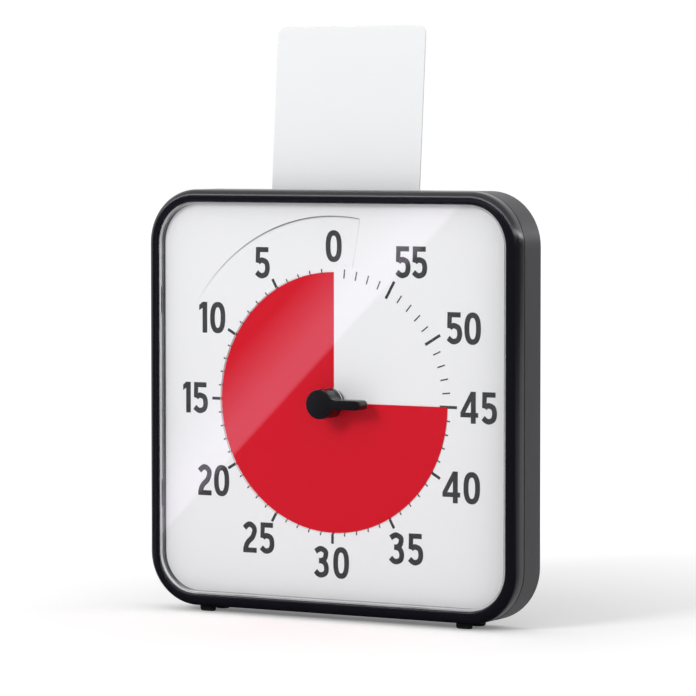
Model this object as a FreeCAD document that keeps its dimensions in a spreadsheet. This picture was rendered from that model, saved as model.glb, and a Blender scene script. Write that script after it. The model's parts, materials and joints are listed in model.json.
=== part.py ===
import FreeCAD, Part
import os
from math import acos, atan2, cos, degrees, pi, radians, sin, sqrt, tan

import Sketcher

# Visual countdown timer. Millimetres, +X right seen from the front, -Y towards the viewer, +Z up.
# The origin is the middle of the footprint at the height of the surface that the feet stand on.
# Most pieces are drawn about the dial centre on the dial plane: Y 0 is the white face there, and
# each piece's Placement carries it to its height and depth.

SIZES = {
    # case
    "case_side": 305.0,
    "corner_radius": 39.0,
    "bezel_width": 9.0,
    "crest_reach": 8.85,
    "front_round": 6.8,
    "lip_round": 2.0,
    "seam_depth": 4.8,
    "seam_gap": 0.4,
    "cover_rear": 30.9,
    "rear_round": 2.5,
    "side_wall": 2.6,
    "inner_wall": 2.2,
    "rear_wall": 2.5,
    "bezel_front_wall": 4.3,
    "tongue_height": 1.8,
    "tongue_wall": 1.6,
    "fit_gap": 0.2,
    # ears on the bezel, posts in the cover and the screws that join them
    "ear_offset": 16.5,
    "ear_inset": 52.5,
    "ear_length": 14.0,
    "ear_reach": 15.5,
    "ear_thickness": 5.2,
    "post_radius": 4.6,
    "screw_radius": 1.5,
    "screw_head_radius": 3.0,
    "screw_head_height": 2.0,
    "screw_sink": 9.0,
    "screw_gap": 0.2,
    "thread_gap": 0.02,
    # feet
    "foot_height": 4.2,
    "foot_inset": 45.8,
    "front_foot_depth": 1.4,
    "front_foot_width": 12.4,
    "front_foot_length": 6.2,
    "rear_foot_radius": 5.6,
    "rear_foot_depth": 22.0,
    "foot_round": 1.8,
    "foot_stem_radius": 1.6,
    "foot_stem_height": 2.0,
    # dial
    "dial_play": 0.3,
    "dial_thickness": 2.8,
    "dial_inner_wall": 0.95,
    "dial_hole_radius": 9.6,
    "slit_width": 2.4,
    "disc_play": 0.8,
    "ramp_radius": 134.0,
    "ramp_angle": 60.0,
    "lobe_angle": 9.6,
    "lobe_start": 99.3,
    "lobe_round": 5.0,
    # film disc and its hub
    "film_radius": 93.8,
    "film_thickness": 0.25,
    "film_gap": 0.3,
    "film_overlap": 1.0,
    "rest_minutes": 45.0,
    "hub_radius": 9.0,
    "hub_margin": 0.6,
    # lens
    "lens_recess": 1.95,
    "lens_thickness": 1.6,
    "lens_flange": 1.6,
    "lens_play": 0.2,
    "lens_hole_radius": 11.8,
    "tab_length": 19.7,
    "tab_height": 2.2,
    "tab_reach": 0.9,
    "tab_root": 0.2,
    "tab_sink": 0.8,
    "tab_spread": 142.0,
    # knob and spindle
    "knob_reach": 20.6,
    "knob_back": 1.5,
    "knob_radius": 10.65,
    "lever_tip": 33.6,
    "lever_width": 6.9,
    "lever_depth": 12.0,
    "lever_blend": 5.0,
    "knob_chamfer": 0.7,
    "spindle_radius": 2.5,
    "spindle_flat": 0.6,
    "spindle_cover": 2.0,
    "run_gap": 0.05,
    "shoulder_radius": 4.0,
    # movement
    "movement_width": 64.0,
    "movement_top": 20.0,
    "movement_bottom": 48.0,
    "plate_front": 4.6,
    "plate_thickness": 1.6,
    "movement_rear": 22.0,
    "movement_wall": 1.8,
    "wheel_thickness": 1.0,
    "layer_step": 2.2,
    "layer_gap": 0.8,
    "first_module": 0.5,
    "train_module": 0.4,
    "pinion_teeth": 12,
    "big_teeth": 60,
    "small_teeth": 48,
    "backlash": 0.08,
    "third_angle": 215.0,
    "second_angle": 280.0,
    "rotor_angle": 340.0,
    "arbor_radius": 1.1,
    "pivot_radius": 0.6,
    "pivot_depth": 1.2,
    "spindle_pivot_radius": 1.5,
    "clip_radius": 4.0,
    "clip_thickness": 0.6,
    "clip_groove": 0.4,
    "washer_height": 0.6,
    "washer_radius": 4.6,
    "magnet_radius": 3.2,
    "magnet_length": 3.0,
    "rotor_air_gap": 0.8,
    "stator_thickness": 1.4,
    "stator_width": 44.0,
    "stator_leg": 6.0,
    "stator_yoke": 13.2,
    "core_height": 4.0,
    "core_thickness": 1.8,
    "bobbin_length": 28.0,
    "bobbin_flange": 1.0,
    "bobbin_outer": 8.4,
    "bobbin_tube": 0.6,
    "movement_ear": 9.0,
    "movement_screw_radius": 1.25,
    # circuit board
    "board_gap": 0.6,
    "board_thickness": 1.2,
    "board_width": 60.0,
    "board_height": 62.0,
    "chip_side": 8.0,
    "chip_height": 1.4,
    "crystal_radius": 1.5,
    "crystal_length": 8.0,
    "crystal_x": 10.0,
    "crystal_drop": 12.0,
    "buzzer_radius": 6.0,
    "buzzer_height": 3.8,
    "buzzer_port": 1.2,
    "buzzer_port_depth": 1.0,
    "buzzer_x": 14.0,
    "buzzer_z": 4.0,
    "switch_x": -18.0,
    "switch_z": 4.0,
    "switch_length": 10.0,
    "switch_height": 5.0,
    "switch_depth": 3.0,
    "switch_travel": 3.0,
    "slider_length": 7.0,
    "slider_height": 5.0,
    "slider_recess": 1.4,
    "slider_stem": 2.0,
    "slider_stem_height": 1.6,
    "slider_sink": 0.1,
    "slider_play": 0.3,
    "slider_rib": 0.5,
    "slider_rib_pitch": 1.6,
    "slider_rib_depth": 0.4,
    "switch_slot_depth": 1.2,
    "stem_end_gap": 0.4,
    # battery
    "battery_drop": 75.0,
    "battery_radius": 7.1,
    "battery_length": 49.5,
    "battery_nub": 1.0,
    "battery_nub_radius": 2.7,
    "battery_play": 0.45,
    "box_wall": 1.4,
    "box_length": 58.0,
    "box_height": 16.0,
    "pad_margin": 6.0,
    "pad_thickness": 2.0,
    "door_margin": 3.6,
    "door_thickness": 2.0,
    "door_gap": 0.3,
    "door_pin_radius": 0.65,
    "door_pin_length": 2.0,
    "door_grip_width": 16.0,
    "door_grip_side": 0.8,
    "door_grip_pitch": 2.2,
    "door_grip_first": 3.4,
    "finger_width": 16.0,
    "finger_height": 8.0,
    "contact_thickness": 0.4,
    "contact_width": 8.0,
    "contact_lead": 2.4,
    "contact_overlap": 4.0,
    "leaf_width": 5.0,
    # card and sleeve
    "card_width": 122.6,
    "card_thickness": 1.2,
    "card_shown": 118.3,
    "card_hidden": 30.0,
    "card_round": 6.5,
    "card_lean": 4.58,
    "card_depth": 17.7,
    "card_gap": 0.4,
    "sleeve_wall": 1.4,
    "sleeve_flange": 4.0,
    # openings in the cover
    "keyhole_inset": 52.5,
    "keyhole_drop": 62.5,
    "keyhole_head": 4.25,
    "keyhole_neck": 2.1,
    "keyhole_rise": 9.0,
    "sound_slots": 5,
    "sound_width": 1.5,
    "sound_length": 11.0,
    "sound_pitch": 3.0,
}

doc = FreeCAD.newDocument("countdown_timer")
sheet = doc.addObject("Spreadsheet::Sheet", "dims")
for row, (alias, number) in enumerate(SIZES.items(), 1):
    sheet.set("A%d" % row, str(number))
    sheet.setAlias("A%d" % row, alias)
doc.recompute()


def size(alias):
    """Value of one driving dimension, read from the sheet."""
    return float(sheet.get(alias))


def d(text):
    """Expression with its aliases written out: @name stands for the sheet's cell name."""
    return text.replace("@", "dims.")


def value(text):
    """Number that an expression gives now."""
    result = sheet.evalExpression(d(text))
    return float(getattr(result, "Value", result))


# Depths and places that several pieces share, as expressions in the dial frame.
DIAL_Y = "((@knob_reach - @cover_rear) / 2)"
DIAL_Z = "(@case_side / 2 + @foot_height)"
BEZEL_BACK = "(@seam_depth - @seam_gap / 2)"
COVER_FRONT = "(@seam_depth + @seam_gap / 2)"
COVER_INSIDE = "(@cover_rear - @rear_wall)"
WINDOW_SIDE = "(@case_side - 2 * @bezel_width)"
WINDOW_RADIUS = "(@corner_radius - @bezel_width)"
CREST = "(-@crest_reach)"
LENS_FRONT = "(@lens_recess - @crest_reach)"
LENS_BACK = "(@lens_recess - @crest_reach + @lens_thickness)"
LENS_SIDE = "(@case_side - 2 * @bezel_width - 2 * @lens_play)"
LENS_RADIUS = "(@corner_radius - @bezel_width - @lens_play)"
DIAL_SIDE = "(@case_side - 2 * @bezel_width - 2 * @dial_play)"
DIAL_RADIUS = "(@corner_radius - @bezel_width - @dial_play)"
PITCH = "(@film_thickness + 2 * @film_gap + @dial_inner_wall)"
PLATE_BACK = "(@plate_front + @plate_thickness)"
TRAIN_BACK = "(@movement_rear - @movement_wall)"
LAYER_A = "(@plate_front + @plate_thickness + @layer_gap)"
LAYER_B = "(@plate_front + @plate_thickness + @layer_gap + @layer_step)"
LAYER_C = "(@plate_front + @plate_thickness + @layer_gap + 2 * @layer_step)"
MAGNET_FRONT = "(@plate_front + @plate_thickness + @layer_gap + 3 * @layer_step)"
STATOR_FRONT = "(%s + (@magnet_length - @stator_thickness) / 2)" % MAGNET_FRONT
BOARD_FRONT = "(@movement_rear + @board_gap)"
BOARD_BACK = "(@movement_rear + @board_gap + @board_thickness)"
PAD_FRONT = "(@cover_rear - @rear_wall - @pad_thickness)"
DOOR_INNER = "(@cover_rear - @door_thickness)"
BATTERY_Y = "(%s - @battery_play - @battery_radius)" % DOOR_INNER
BOX_FLOOR = "(%s - @battery_radius - @battery_play)" % BATTERY_Y
LEAD_FRONT = BOARD_BACK
FOOT_X = "(@case_side / 2 - @foot_inset)"
EAR_SPREAD = "(@case_side / 2 - @ear_inset)"
KEYHOLE_X = "(@case_side / 2 - @keyhole_inset)"
KEYHOLE_Z = "(@case_side / 2 - @keyhole_drop)"
TAB_BACK = "(-@tab_sink)"
PIECES = []


def place(item, at_x="0", at_y=DIAL_Y, at_z=DIAL_Z):
    """Carry a piece from the dial frame to its place in the object."""
    item.setExpression(".Placement.Base.x", d(at_x))
    item.setExpression(".Placement.Base.y", d(at_y))
    item.setExpression(".Placement.Base.z", d(at_z))
    return item


def node(item, name):
    """Name a finished piece and list it for the files."""
    item.Label = name
    PIECES.append(item)
    return item


def new_body(name):
    body = doc.addObject("PartDesign::Body", name + "_body")
    return place(body)


def new_sketch(body, plane, offset):
    """Sketch on one of the body's origin planes, moved along the plane's normal."""
    sketch = body.newObject("Sketcher::SketchObject", "outline")
    origin = [f for f in body.Origin.OriginFeatures if f.Role == plane][0]
    sketch.AttachmentSupport = [(origin, "")]
    sketch.MapMode = "FlatFace"
    sketch.setExpression(".AttachmentOffset.Base.z", d(offset))
    return sketch


def hold(sketch, kind, geo, pos, text):
    """Bind one coordinate of a point to an expression."""
    index = sketch.addConstraint(Sketcher.Constraint(kind, -1, 1, geo, pos, value(text)))
    sketch.setExpression("Constraints[%d]" % index, d(text))


def add_polygon(sketch, points):
    """Closed straight outline: points are pairs of expressions."""
    spots = [FreeCAD.Vector(value(a), value(b), 0) for a, b in points]
    first = sketch.GeometryCount
    count = len(spots)
    for i in range(count):
        sketch.addGeometry(Part.LineSegment(spots[i], spots[(i + 1) % count]))
    for i in range(count):
        after = first + (i + 1) % count
        sketch.addConstraint(Sketcher.Constraint("Coincident", first + i, 2, after, 1))
    for i, (a, b) in enumerate(points):
        hold(sketch, "DistanceX", first + i, 1, a)
        hold(sketch, "DistanceY", first + i, 1, b)


def add_rectangle(sketch, wide, high, mid_a="0", mid_b="0"):
    """Sharp rectangle about a middle point."""
    corners = []
    for side_a, side_b in (("-", "-"), ("+", "-"), ("+", "+"), ("-", "+")):
        corners.append(("%s %s (%s) / 2" % (mid_a, side_a, wide), "%s %s (%s) / 2" % (mid_b, side_b, high)))
    add_polygon(sketch, corners)


def add_circle(sketch, radius, mid_a="0", mid_b="0"):
    centre = FreeCAD.Vector(value(mid_a), value(mid_b), 0)
    geo = sketch.addGeometry(Part.Circle(centre, FreeCAD.Vector(0, 0, 1), value(radius)))
    hold(sketch, "DistanceX", geo, 3, mid_a)
    hold(sketch, "DistanceY", geo, 3, mid_b)
    index = sketch.addConstraint(Sketcher.Constraint("Radius", geo, value(radius)))
    sketch.setExpression("Constraints[%d]" % index, d(radius))


def add_rounded(sketch, wide, high, radius, mid_a="0", mid_b="0"):
    """Rectangle with round corners about a middle point."""
    half_a, half_b = "(%s) / 2" % wide, "(%s) / 2" % high
    radius = "(%s)" % radius
    first = sketch.GeometryCount
    centres = []
    for side_a, side_b in (("+", "+"), ("-", "+"), ("-", "-"), ("+", "-")):
        back_a = "-" if side_a == "+" else "+"
        back_b = "-" if side_b == "+" else "+"
        a = "%s %s %s %s %s" % (mid_a, side_a, half_a, back_a, radius)
        b = "%s %s %s %s %s" % (mid_b, side_b, half_b, back_b, radius)
        centres.append((a, b))
    r = value(radius)
    spots = [FreeCAD.Vector(value(a), value(b), 0) for a, b in centres]
    for quarter, spot in enumerate(spots):
        circle = Part.Circle(spot, FreeCAD.Vector(0, 0, 1), r)
        sketch.addGeometry(Part.ArcOfCircle(circle, quarter * pi / 2, (quarter + 1) * pi / 2))
    for quarter in range(4):
        turn = (quarter + 1) * pi / 2
        out = FreeCAD.Vector(r * cos(turn), r * sin(turn), 0)
        sketch.addGeometry(Part.LineSegment(spots[quarter] + out, spots[(quarter + 1) % 4] + out))
    for quarter in range(4):
        line = first + 4 + quarter
        after = first + (quarter + 1) % 4
        sketch.addConstraint(Sketcher.Constraint("Tangent", first + quarter, 2, line, 1))
        sketch.addConstraint(Sketcher.Constraint("Tangent", line, 2, after, 1))
    sketch.addConstraint(Sketcher.Constraint("Horizontal", first + 4))
    sketch.addConstraint(Sketcher.Constraint("Vertical", first + 5))
    for quarter in range(1, 4):
        sketch.addConstraint(Sketcher.Constraint("Equal", first, first + quarter))
    index = sketch.addConstraint(Sketcher.Constraint("Radius", first, r))
    sketch.setExpression("Constraints[%d]" % index, d(radius))
    hold(sketch, "DistanceX", first, 3, centres[0][0])
    hold(sketch, "DistanceY", first, 3, centres[0][1])
    hold(sketch, "DistanceX", first + 2, 3, centres[2][0])
    hold(sketch, "DistanceY", first + 2, 3, centres[2][1])


def feature(body, kind, sketch, length, backwards):
    item = body.newObject("PartDesign::" + kind, kind.lower())
    item.Profile = sketch
    item.setExpression("Length", d(length))
    item.Reversed = backwards
    sketch.Visibility = False
    return item


def slab(body, front, back, *outlines):
    """Pad between two depths behind the dial plane; each outline is (function, arguments)."""
    sketch = new_sketch(body, "XZ_Plane", "-(%s)" % front)
    for draw, arguments in outlines:
        draw(sketch, *arguments)
    return feature(body, "Pad", sketch, "(%s) - (%s)" % (back, front), True)


def cut_slab(body, front, back, *outlines):
    """Pocket between two depths behind the dial plane, checked to have cut something."""
    doc.recompute()
    before = body.Shape.Volume
    sketch = new_sketch(body, "XZ_Plane", "-(%s)" % front)
    for draw, arguments in outlines:
        draw(sketch, *arguments)
    item = feature(body, "Pocket", sketch, "(%s) - (%s)" % (back, front), False)
    doc.recompute()
    if body.Shape.Volume > before - 1e-6:
        raise RuntimeError("pocket cuts nothing in " + body.Name)
    return item


def block(body, low, high, *outlines):
    """Pad between two heights above the dial centre."""
    sketch = new_sketch(body, "XY_Plane", low)
    for draw, arguments in outlines:
        draw(sketch, *arguments)
    return feature(body, "Pad", sketch, "(%s) - (%s)" % (high, low), False)


def cut_block(body, low, high, *outlines):
    """Pocket between two heights above the dial centre, checked to have cut something."""
    doc.recompute()
    before = body.Shape.Volume
    sketch = new_sketch(body, "XY_Plane", high)
    for draw, arguments in outlines:
        draw(sketch, *arguments)
    item = feature(body, "Pocket", sketch, "(%s) - (%s)" % (high, low), False)
    doc.recompute()
    if body.Shape.Volume > before - 1e-6:
        raise RuntimeError("pocket cuts nothing in " + body.Name)
    return item


def bar(body, left, right, *outlines):
    """Pad between two places along X; outlines are drawn with Y across and Z up."""
    sketch = new_sketch(body, "YZ_Plane", left)
    for draw, arguments in outlines:
        draw(sketch, *arguments)
    return feature(body, "Pad", sketch, "(%s) - (%s)" % (right, left), False)


def cut_bar(body, left, right, *outlines):
    """Pocket between two places along X, checked to have cut something."""
    doc.recompute()
    before = body.Shape.Volume
    sketch = new_sketch(body, "YZ_Plane", right)
    for draw, arguments in outlines:
        draw(sketch, *arguments)
    item = feature(body, "Pocket", sketch, "(%s) - (%s)" % (right, left), False)
    doc.recompute()
    if body.Shape.Volume > before - 1e-6:
        raise RuntimeError("pocket cuts nothing in " + body.Name)
    return item


def edge_names(shape, test):
    """Names of the edges whose every sampled point passes a test."""
    names = []
    for number, edge in enumerate(shape.Edges, 1):
        low, high = edge.ParameterRange
        points = [edge.valueAt(low + (high - low) * share / 4) for share in range(5)]
        if all(test(point) for point in points):
            names.append("Edge%d" % number)
    return names


def dress(body, kind, amount, test):
    """Fillet or chamfer the edges of a body that pass a test, in the dial frame."""
    doc.recompute()
    base = body.Tip
    names = edge_names(base.Shape, test)
    if not names:
        raise RuntimeError("no edge to finish in " + body.Name)
    item = body.newObject("PartDesign::" + kind, kind.lower())
    item.Base = (base, names)
    item.setExpression("Radius" if kind == "Fillet" else "Size", d(amount))
    return item


def cylinder(radius, front, back, at_x="0", at_z="0", name="rod"):
    """Cylinder along Y between two depths."""
    item = doc.addObject("Part::Cylinder", name)
    item.setExpression("Radius", d(radius))
    item.setExpression("Height", d("(%s) - (%s)" % (back, front)))
    item.Placement.Rotation = FreeCAD.Rotation(FreeCAD.Vector(1, 0, 0), -90)
    item.setExpression(".Placement.Base.x", d(at_x))
    item.setExpression(".Placement.Base.y", d(front))
    item.setExpression(".Placement.Base.z", d(at_z))
    return item


def box(wide, deep, high, at_x, at_y, at_z, name="block"):
    """Box whose corner of least X, Y and Z is given."""
    item = doc.addObject("Part::Box", name)
    for side, text in (("Length", wide), ("Width", deep), ("Height", high)):
        item.setExpression(side, d(text))
    item.setExpression(".Placement.Base.x", d(at_x))
    item.setExpression(".Placement.Base.y", d(at_y))
    item.setExpression(".Placement.Base.z", d(at_z))
    return item


def fuse(items, name="joined"):
    if len(items) == 1:
        return items[0]
    item = doc.addObject("Part::MultiFuse", name)
    item.Shapes = items
    return item


def cut(base, tool, name="cut"):
    item = doc.addObject("Part::Cut", name)
    item.Base = base
    item.Tool = tool
    return item


def solid_feature(shape, name):
    """Piece whose shape comes from a formula."""
    item = doc.addObject("Part::Feature", name)
    item.Shape = shape
    return item


def polar(radius, angle, depth=0.0):
    """Point at a clock angle: degrees counter-clockwise from 12 o'clock, seen from the front."""
    turn = radians(angle)
    return FreeCAD.Vector(-radius * sin(turn), depth, radius * cos(turn))


# Front bezel

EAR_MIDDLE = "(@case_side / 2 - @bezel_width + @inner_wall / 2 - @ear_reach / 2)"
EAR_PLACES = []
for sign_a in (-1, 1):
    for sign_b in (-1, 1):
        EAR_PLACES.append(("%d * (@case_side / 2 - @ear_offset)" % sign_a, "%d * %s" % (sign_b, EAR_SPREAD), True))
        EAR_PLACES.append(("%d * %s" % (sign_a, EAR_SPREAD), "%d * (@case_side / 2 - @ear_offset)" % sign_b, False))


def make_bezel():
    body = new_body("front_bezel")
    outer = (add_rounded, ("@case_side", "@case_side", "@corner_radius"))
    window = (add_rounded, (WINDOW_SIDE, WINDOW_SIDE, WINDOW_RADIUS))
    slab(body, CREST, BEZEL_BACK, outer, window)
    crest = value(CREST)
    middle = value("@case_side / 2 - @bezel_width / 2")

    def beyond(point, half):
        round_centre = value("@case_side / 2 - @corner_radius")
        across = max(abs(point.x) - round_centre, 0)
        up = max(abs(point.z) - round_centre, 0)
        return sqrt(across * across + up * up) + round_centre > half

    dress(body, "Fillet", "@front_round", lambda p: abs(p.y - crest) < 1e-3 and beyond(p, middle))
    dress(body, "Fillet", "@lip_round", lambda p: abs(p.y - crest) < 1e-3 and not beyond(p, middle))
    hollow_out = "(@case_side - 2 * @side_wall)"
    hollow_in = "(%s + 2 * @inner_wall)" % WINDOW_SIDE
    cut_slab(body, "@bezel_front_wall - @crest_reach", BEZEL_BACK,
             (add_rounded, (hollow_out, hollow_out, "@corner_radius - @side_wall")),
             (add_rounded, (hollow_in, hollow_in, WINDOW_RADIUS + " + @inner_wall")))
    ears = []
    for sign_a in (-1, 1):
        for sign_b in (-1, 1):
            ears.append((add_rectangle, ("@ear_reach", "@ear_length", "%d * %s" % (sign_a, EAR_MIDDLE),
                                         "%d * %s" % (sign_b, EAR_SPREAD))))
            ears.append((add_rectangle, ("@ear_length", "@ear_reach", "%d * %s" % (sign_a, EAR_SPREAD),
                                         "%d * %s" % (sign_b, EAR_MIDDLE))))
    slab(body, "@dial_thickness", "@dial_thickness + @ear_thickness", *ears)
    holes = [(add_circle, ("@screw_radius + @thread_gap", a, b)) for a, b, upright in EAR_PLACES]
    cut_slab(body, "@dial_thickness", "@dial_thickness + @ear_thickness", *holes)
    notches = []
    for a, b, upright in tab_places("(%s / 2 + @tab_reach / 2 + @lens_play)" % WINDOW_SIDE):
        long = "@tab_length + 2 * @fit_gap"
        short = "@tab_reach + 2 * @lens_play"
        wide, high = (short, long) if upright else (long, short)
        notches.append((add_rectangle, (wide, high, a, b)))
    cut_slab(body, "%s - @tab_height - @fit_gap" % TAB_BACK, TAB_BACK + " + @fit_gap", *notches)
    sockets = []
    for side in ("-", "+"):
        sockets.append((add_circle, ("@foot_stem_radius", side + FOOT_X, "@front_foot_depth")))
    cut_block(body, "-@case_side / 2", "@foot_stem_height - @case_side / 2", *sockets)
    node(body, "front_bezel")


def tab_places(half):
    """Middle of each snap tab of the lens: two along each side."""
    places = []
    for sign_a in (-1, 1):
        for sign_b in (-1, 1):
            places.append(("%d * %s" % (sign_a, half), "%d * @tab_spread / 2" % sign_b, True))
            places.append(("%d * @tab_spread / 2" % sign_a, "%d * %s" % (sign_b, half), False))
    return places


# Lens

def make_lens():
    body = new_body("lens")
    outer = (add_rounded, (LENS_SIDE, LENS_SIDE, LENS_RADIUS))
    back = "-@dial_play"
    slab(body, LENS_FRONT, back, outer)
    inner = LENS_SIDE + " - 2 * @lens_flange"
    cut_slab(body, LENS_BACK, back, (add_rounded, (inner, inner, LENS_RADIUS + " - @lens_flange")))
    cut_slab(body, LENS_FRONT, LENS_BACK, (add_circle, ("@lens_hole_radius",)))
    tabs = []
    for a, b, upright in tab_places("(%s / 2 + @tab_reach / 2 - @tab_root)" % LENS_SIDE):
        short, long = "@tab_reach + 2 * @tab_root", "@tab_length"
        wide, high = (short, long) if upright else (long, short)
        tabs.append((add_rectangle, (wide, high, a, b)))
    slab(body, TAB_BACK + " - @tab_height", TAB_BACK, *tabs)
    node(body, "lens")


# Dial with its helical inner floor, the slit at 12 o'clock and the ramp beside it

def helix_edge(radius, pitch, start, sweep, depth):
    """Helix about the dial's axis from one clock angle, coming forward as it turns counter-clockwise."""
    curve = Part.makeHelix(pitch, pitch * sweep / 360, radius).Edges[0]
    turned = FreeCAD.Placement(FreeCAD.Vector(0, 0, 0), FreeCAD.Rotation(FreeCAD.Vector(0, 0, 1), 90 + start))
    tilted = FreeCAD.Placement(FreeCAD.Vector(0, depth, 0), FreeCAD.Rotation(FreeCAD.Vector(1, 0, 0), 90))
    curve.Placement = tilted * turned
    return curve


def helix_face(inner, outer, pitch, start, sweep, depth):
    """Helicoid strip between two radii, at a depth behind the dial plane at its start."""
    near = helix_edge(inner, pitch, start, sweep, depth)
    far = helix_edge(outer, pitch, start, sweep, depth)
    return Part.makeRuledSurface(near, far)


def helix_slab(inner, outer, pitch, start, sweep, depth, thickness):
    """Helicoid plate whose front is the strip of helix_face."""
    return helix_face(inner, outer, pitch, start, sweep, depth).extrude(FreeCAD.Vector(0, thickness, 0))


def sector_face(inner, outer, start, stop, depth):
    """Flat ring sector between two clock angles, start before stop."""
    middle = (start + stop) / 2
    edges = [
        Part.Arc(polar(inner, start, depth), polar(inner, middle, depth), polar(inner, stop, depth)).toShape(),
        Part.LineSegment(polar(inner, stop, depth), polar(outer, stop, depth)).toShape(),
        Part.Arc(polar(outer, stop, depth), polar(outer, middle, depth), polar(outer, start, depth)).toShape(),
        Part.LineSegment(polar(outer, start, depth), polar(inner, start, depth)).toShape(),
    ]
    return Part.Face(Part.Wire(edges))


def rounded_plate(side, radius, front, back):
    """Square plate with round corners, square to Y."""
    half = side / 2
    plate = Part.makeBox(side, back - front, side, FreeCAD.Vector(-half, front, -half))
    corners = []
    for edge in plate.Edges:
        middle = edge.CenterOfMass
        if abs(abs(middle.x) - half) < 1e-6 and abs(abs(middle.z) - half) < 1e-6:
            corners.append(edge)
    return plate.makeFillet(radius, corners)


def make_dial():
    pitch = value(PITCH)
    opening = size("film_radius") + size("disc_play")
    floor = size("dial_inner_wall")
    thickness = size("dial_thickness")
    forward = FreeCAD.Vector(0, -1, 0)
    plate = rounded_plate(value(DIAL_SIDE), value(DIAL_RADIUS), 0, thickness)
    plate = plate.cut(Part.makeCylinder(opening, thickness, FreeCAD.Vector(0, 0, 0), FreeCAD.Vector(0, 1, 0)))
    lead = 2.0
    half_slit = size("slit_width") / 2
    margin = 1.0
    # the inner floor is deepest just left of 12 o'clock and reaches the dial plane after one turn
    start = 0.2
    depth = pitch * (1 - start / 360)
    inner = helix_slab(size("dial_hole_radius"), opening + margin / 2, pitch, start, 360 - 2 * start, depth, floor)
    dial = plate.fuse(inner)
    slit = Part.makeBox(2 * half_slit, thickness + 2 * lead, opening - half_slit / 2,
                        FreeCAD.Vector(-half_slit, -lead, 0))
    dial = dial.cut(slit)
    # the ramp fades out where it meets the dial plane
    ramp_turn = size("ramp_angle")
    ramp_pitch = pitch * 360 / ramp_turn
    ramp_start = pitch
    ramp = helix_slab(opening, size("ramp_radius"), ramp_pitch, 0, ramp_turn, ramp_start, -pitch - lead)
    dial = dial.cut(ramp)
    lobe = sector_face(size("lobe_start"), size("ramp_radius"), -size("lobe_angle"), 0.0, pitch)
    lobe = lobe.extrude(forward * (pitch + lead))
    wall_edges = []
    for edge in lobe.Edges:
        box_size = edge.BoundBox
        middle = edge.CenterOfMass
        if box_size.YLength > pitch and box_size.XLength < 1e-6 and degrees(atan2(-middle.x, middle.z)) < -size("lobe_angle") / 2:
            wall_edges.append(edge)
    lobe = lobe.makeFillet(size("lobe_round"), wall_edges)
    dial = dial.cut(lobe)
    item = solid_feature(dial.removeSplitter(), "dial_shape")
    node(place(item), "dial_face")


# Film disc: one turn of a helicoid sheet that screws through the slit

def film_depth(angle):
    """Middle of the film at a clock angle, behind the dial plane."""
    pitch = value(PITCH)
    return pitch * (1 - angle / 360) - size("film_gap") - size("film_thickness") / 2


def make_film():
    rest_angle = 360 * size("rest_minutes") / 60
    sweep = 360 - size("film_overlap")
    start = rest_angle - sweep
    depth = film_depth(start) - size("film_thickness") / 2
    film = helix_slab(size("hub_radius"), size("film_radius"), value(PITCH), start, sweep, depth,
                      size("film_thickness"))
    node(place(solid_feature(film, "film_shape")), "film_disc")


HUB_FRONT = "(%s * (1 - @rest_minutes / 60) - @film_gap - @film_thickness / 2 - @hub_margin)" % PITCH
HUB_BACK = "(%s * (2 - @rest_minutes / 60) - @film_gap - @film_thickness / 2 + @hub_margin)" % PITCH


def add_flatted(sketch, radius, flat):
    """Circle with one flat at its lower side: radius and the depth of the flat."""
    r, f = value(radius), value(flat)
    half = acos((r - f) / r)
    circle = Part.Circle(FreeCAD.Vector(0, 0, 0), FreeCAD.Vector(0, 0, 1), r)
    arc = sketch.addGeometry(Part.ArcOfCircle(circle, -pi / 2 + half, 3 * pi / 2 - half))
    reach = sqrt(r * r - (r - f) ** 2)
    line = sketch.addGeometry(Part.LineSegment(FreeCAD.Vector(-reach, f - r, 0), FreeCAD.Vector(reach, f - r, 0)))
    sketch.addConstraint(Sketcher.Constraint("Coincident", arc, 3, -1, 1))
    index = sketch.addConstraint(Sketcher.Constraint("Radius", arc, r))
    sketch.setExpression("Constraints[%d]" % index, d(radius))
    sketch.addConstraint(Sketcher.Constraint("Coincident", arc, 2, line, 1))
    sketch.addConstraint(Sketcher.Constraint("Coincident", line, 2, arc, 1))
    sketch.addConstraint(Sketcher.Constraint("Horizontal", line))
    hold(sketch, "DistanceY", line, 1, "(%s) - (%s)" % (flat, radius))


def make_hub():
    body = new_body("disc_hub")
    slab(body, HUB_FRONT, HUB_BACK, (add_circle, ("@hub_radius",)))
    cut_slab(body, HUB_FRONT, HUB_BACK, (add_flatted, ("@spindle_radius + @run_gap", "@spindle_flat")))
    node(body, "disc_hub")


# Knob and spindle

def make_knob():
    body = new_body("setting_knob")
    face = "-@knob_reach"
    slab(body, face, "-@knob_back", (add_circle, ("@knob_radius",)))
    lever_reach = "(@lever_tip - @knob_radius / 2)"
    lever_mid = "(@knob_radius / 2 + %s / 2)" % lever_reach
    slab(body, face, "@lever_depth - @knob_reach",
         (add_rounded, (lever_reach, "@lever_width", "(@lever_width / 2 - 0.05)", lever_mid, "0")))
    doc.recompute()
    hub, half = size("knob_radius"), size("lever_width") / 2
    root_x = sqrt(hub * hub - half * half)

    def at_root(point):
        near = abs(point.x - root_x) < 0.05 and abs(abs(point.z) - half) < 0.05
        return near and point.y < value("@lever_depth - @knob_reach") + 0.05

    dress(body, "Fillet", "@lever_blend", at_root)
    front = value(face)
    dress(body, "Chamfer", "@knob_chamfer", lambda p: abs(p.y - front) < 1e-3)
    cut_slab(body, "@spindle_cover - @knob_reach", "-@knob_back",
             (add_flatted, ("@spindle_radius + @thread_gap", "@spindle_flat")))
    node(body, "setting_knob")


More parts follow.
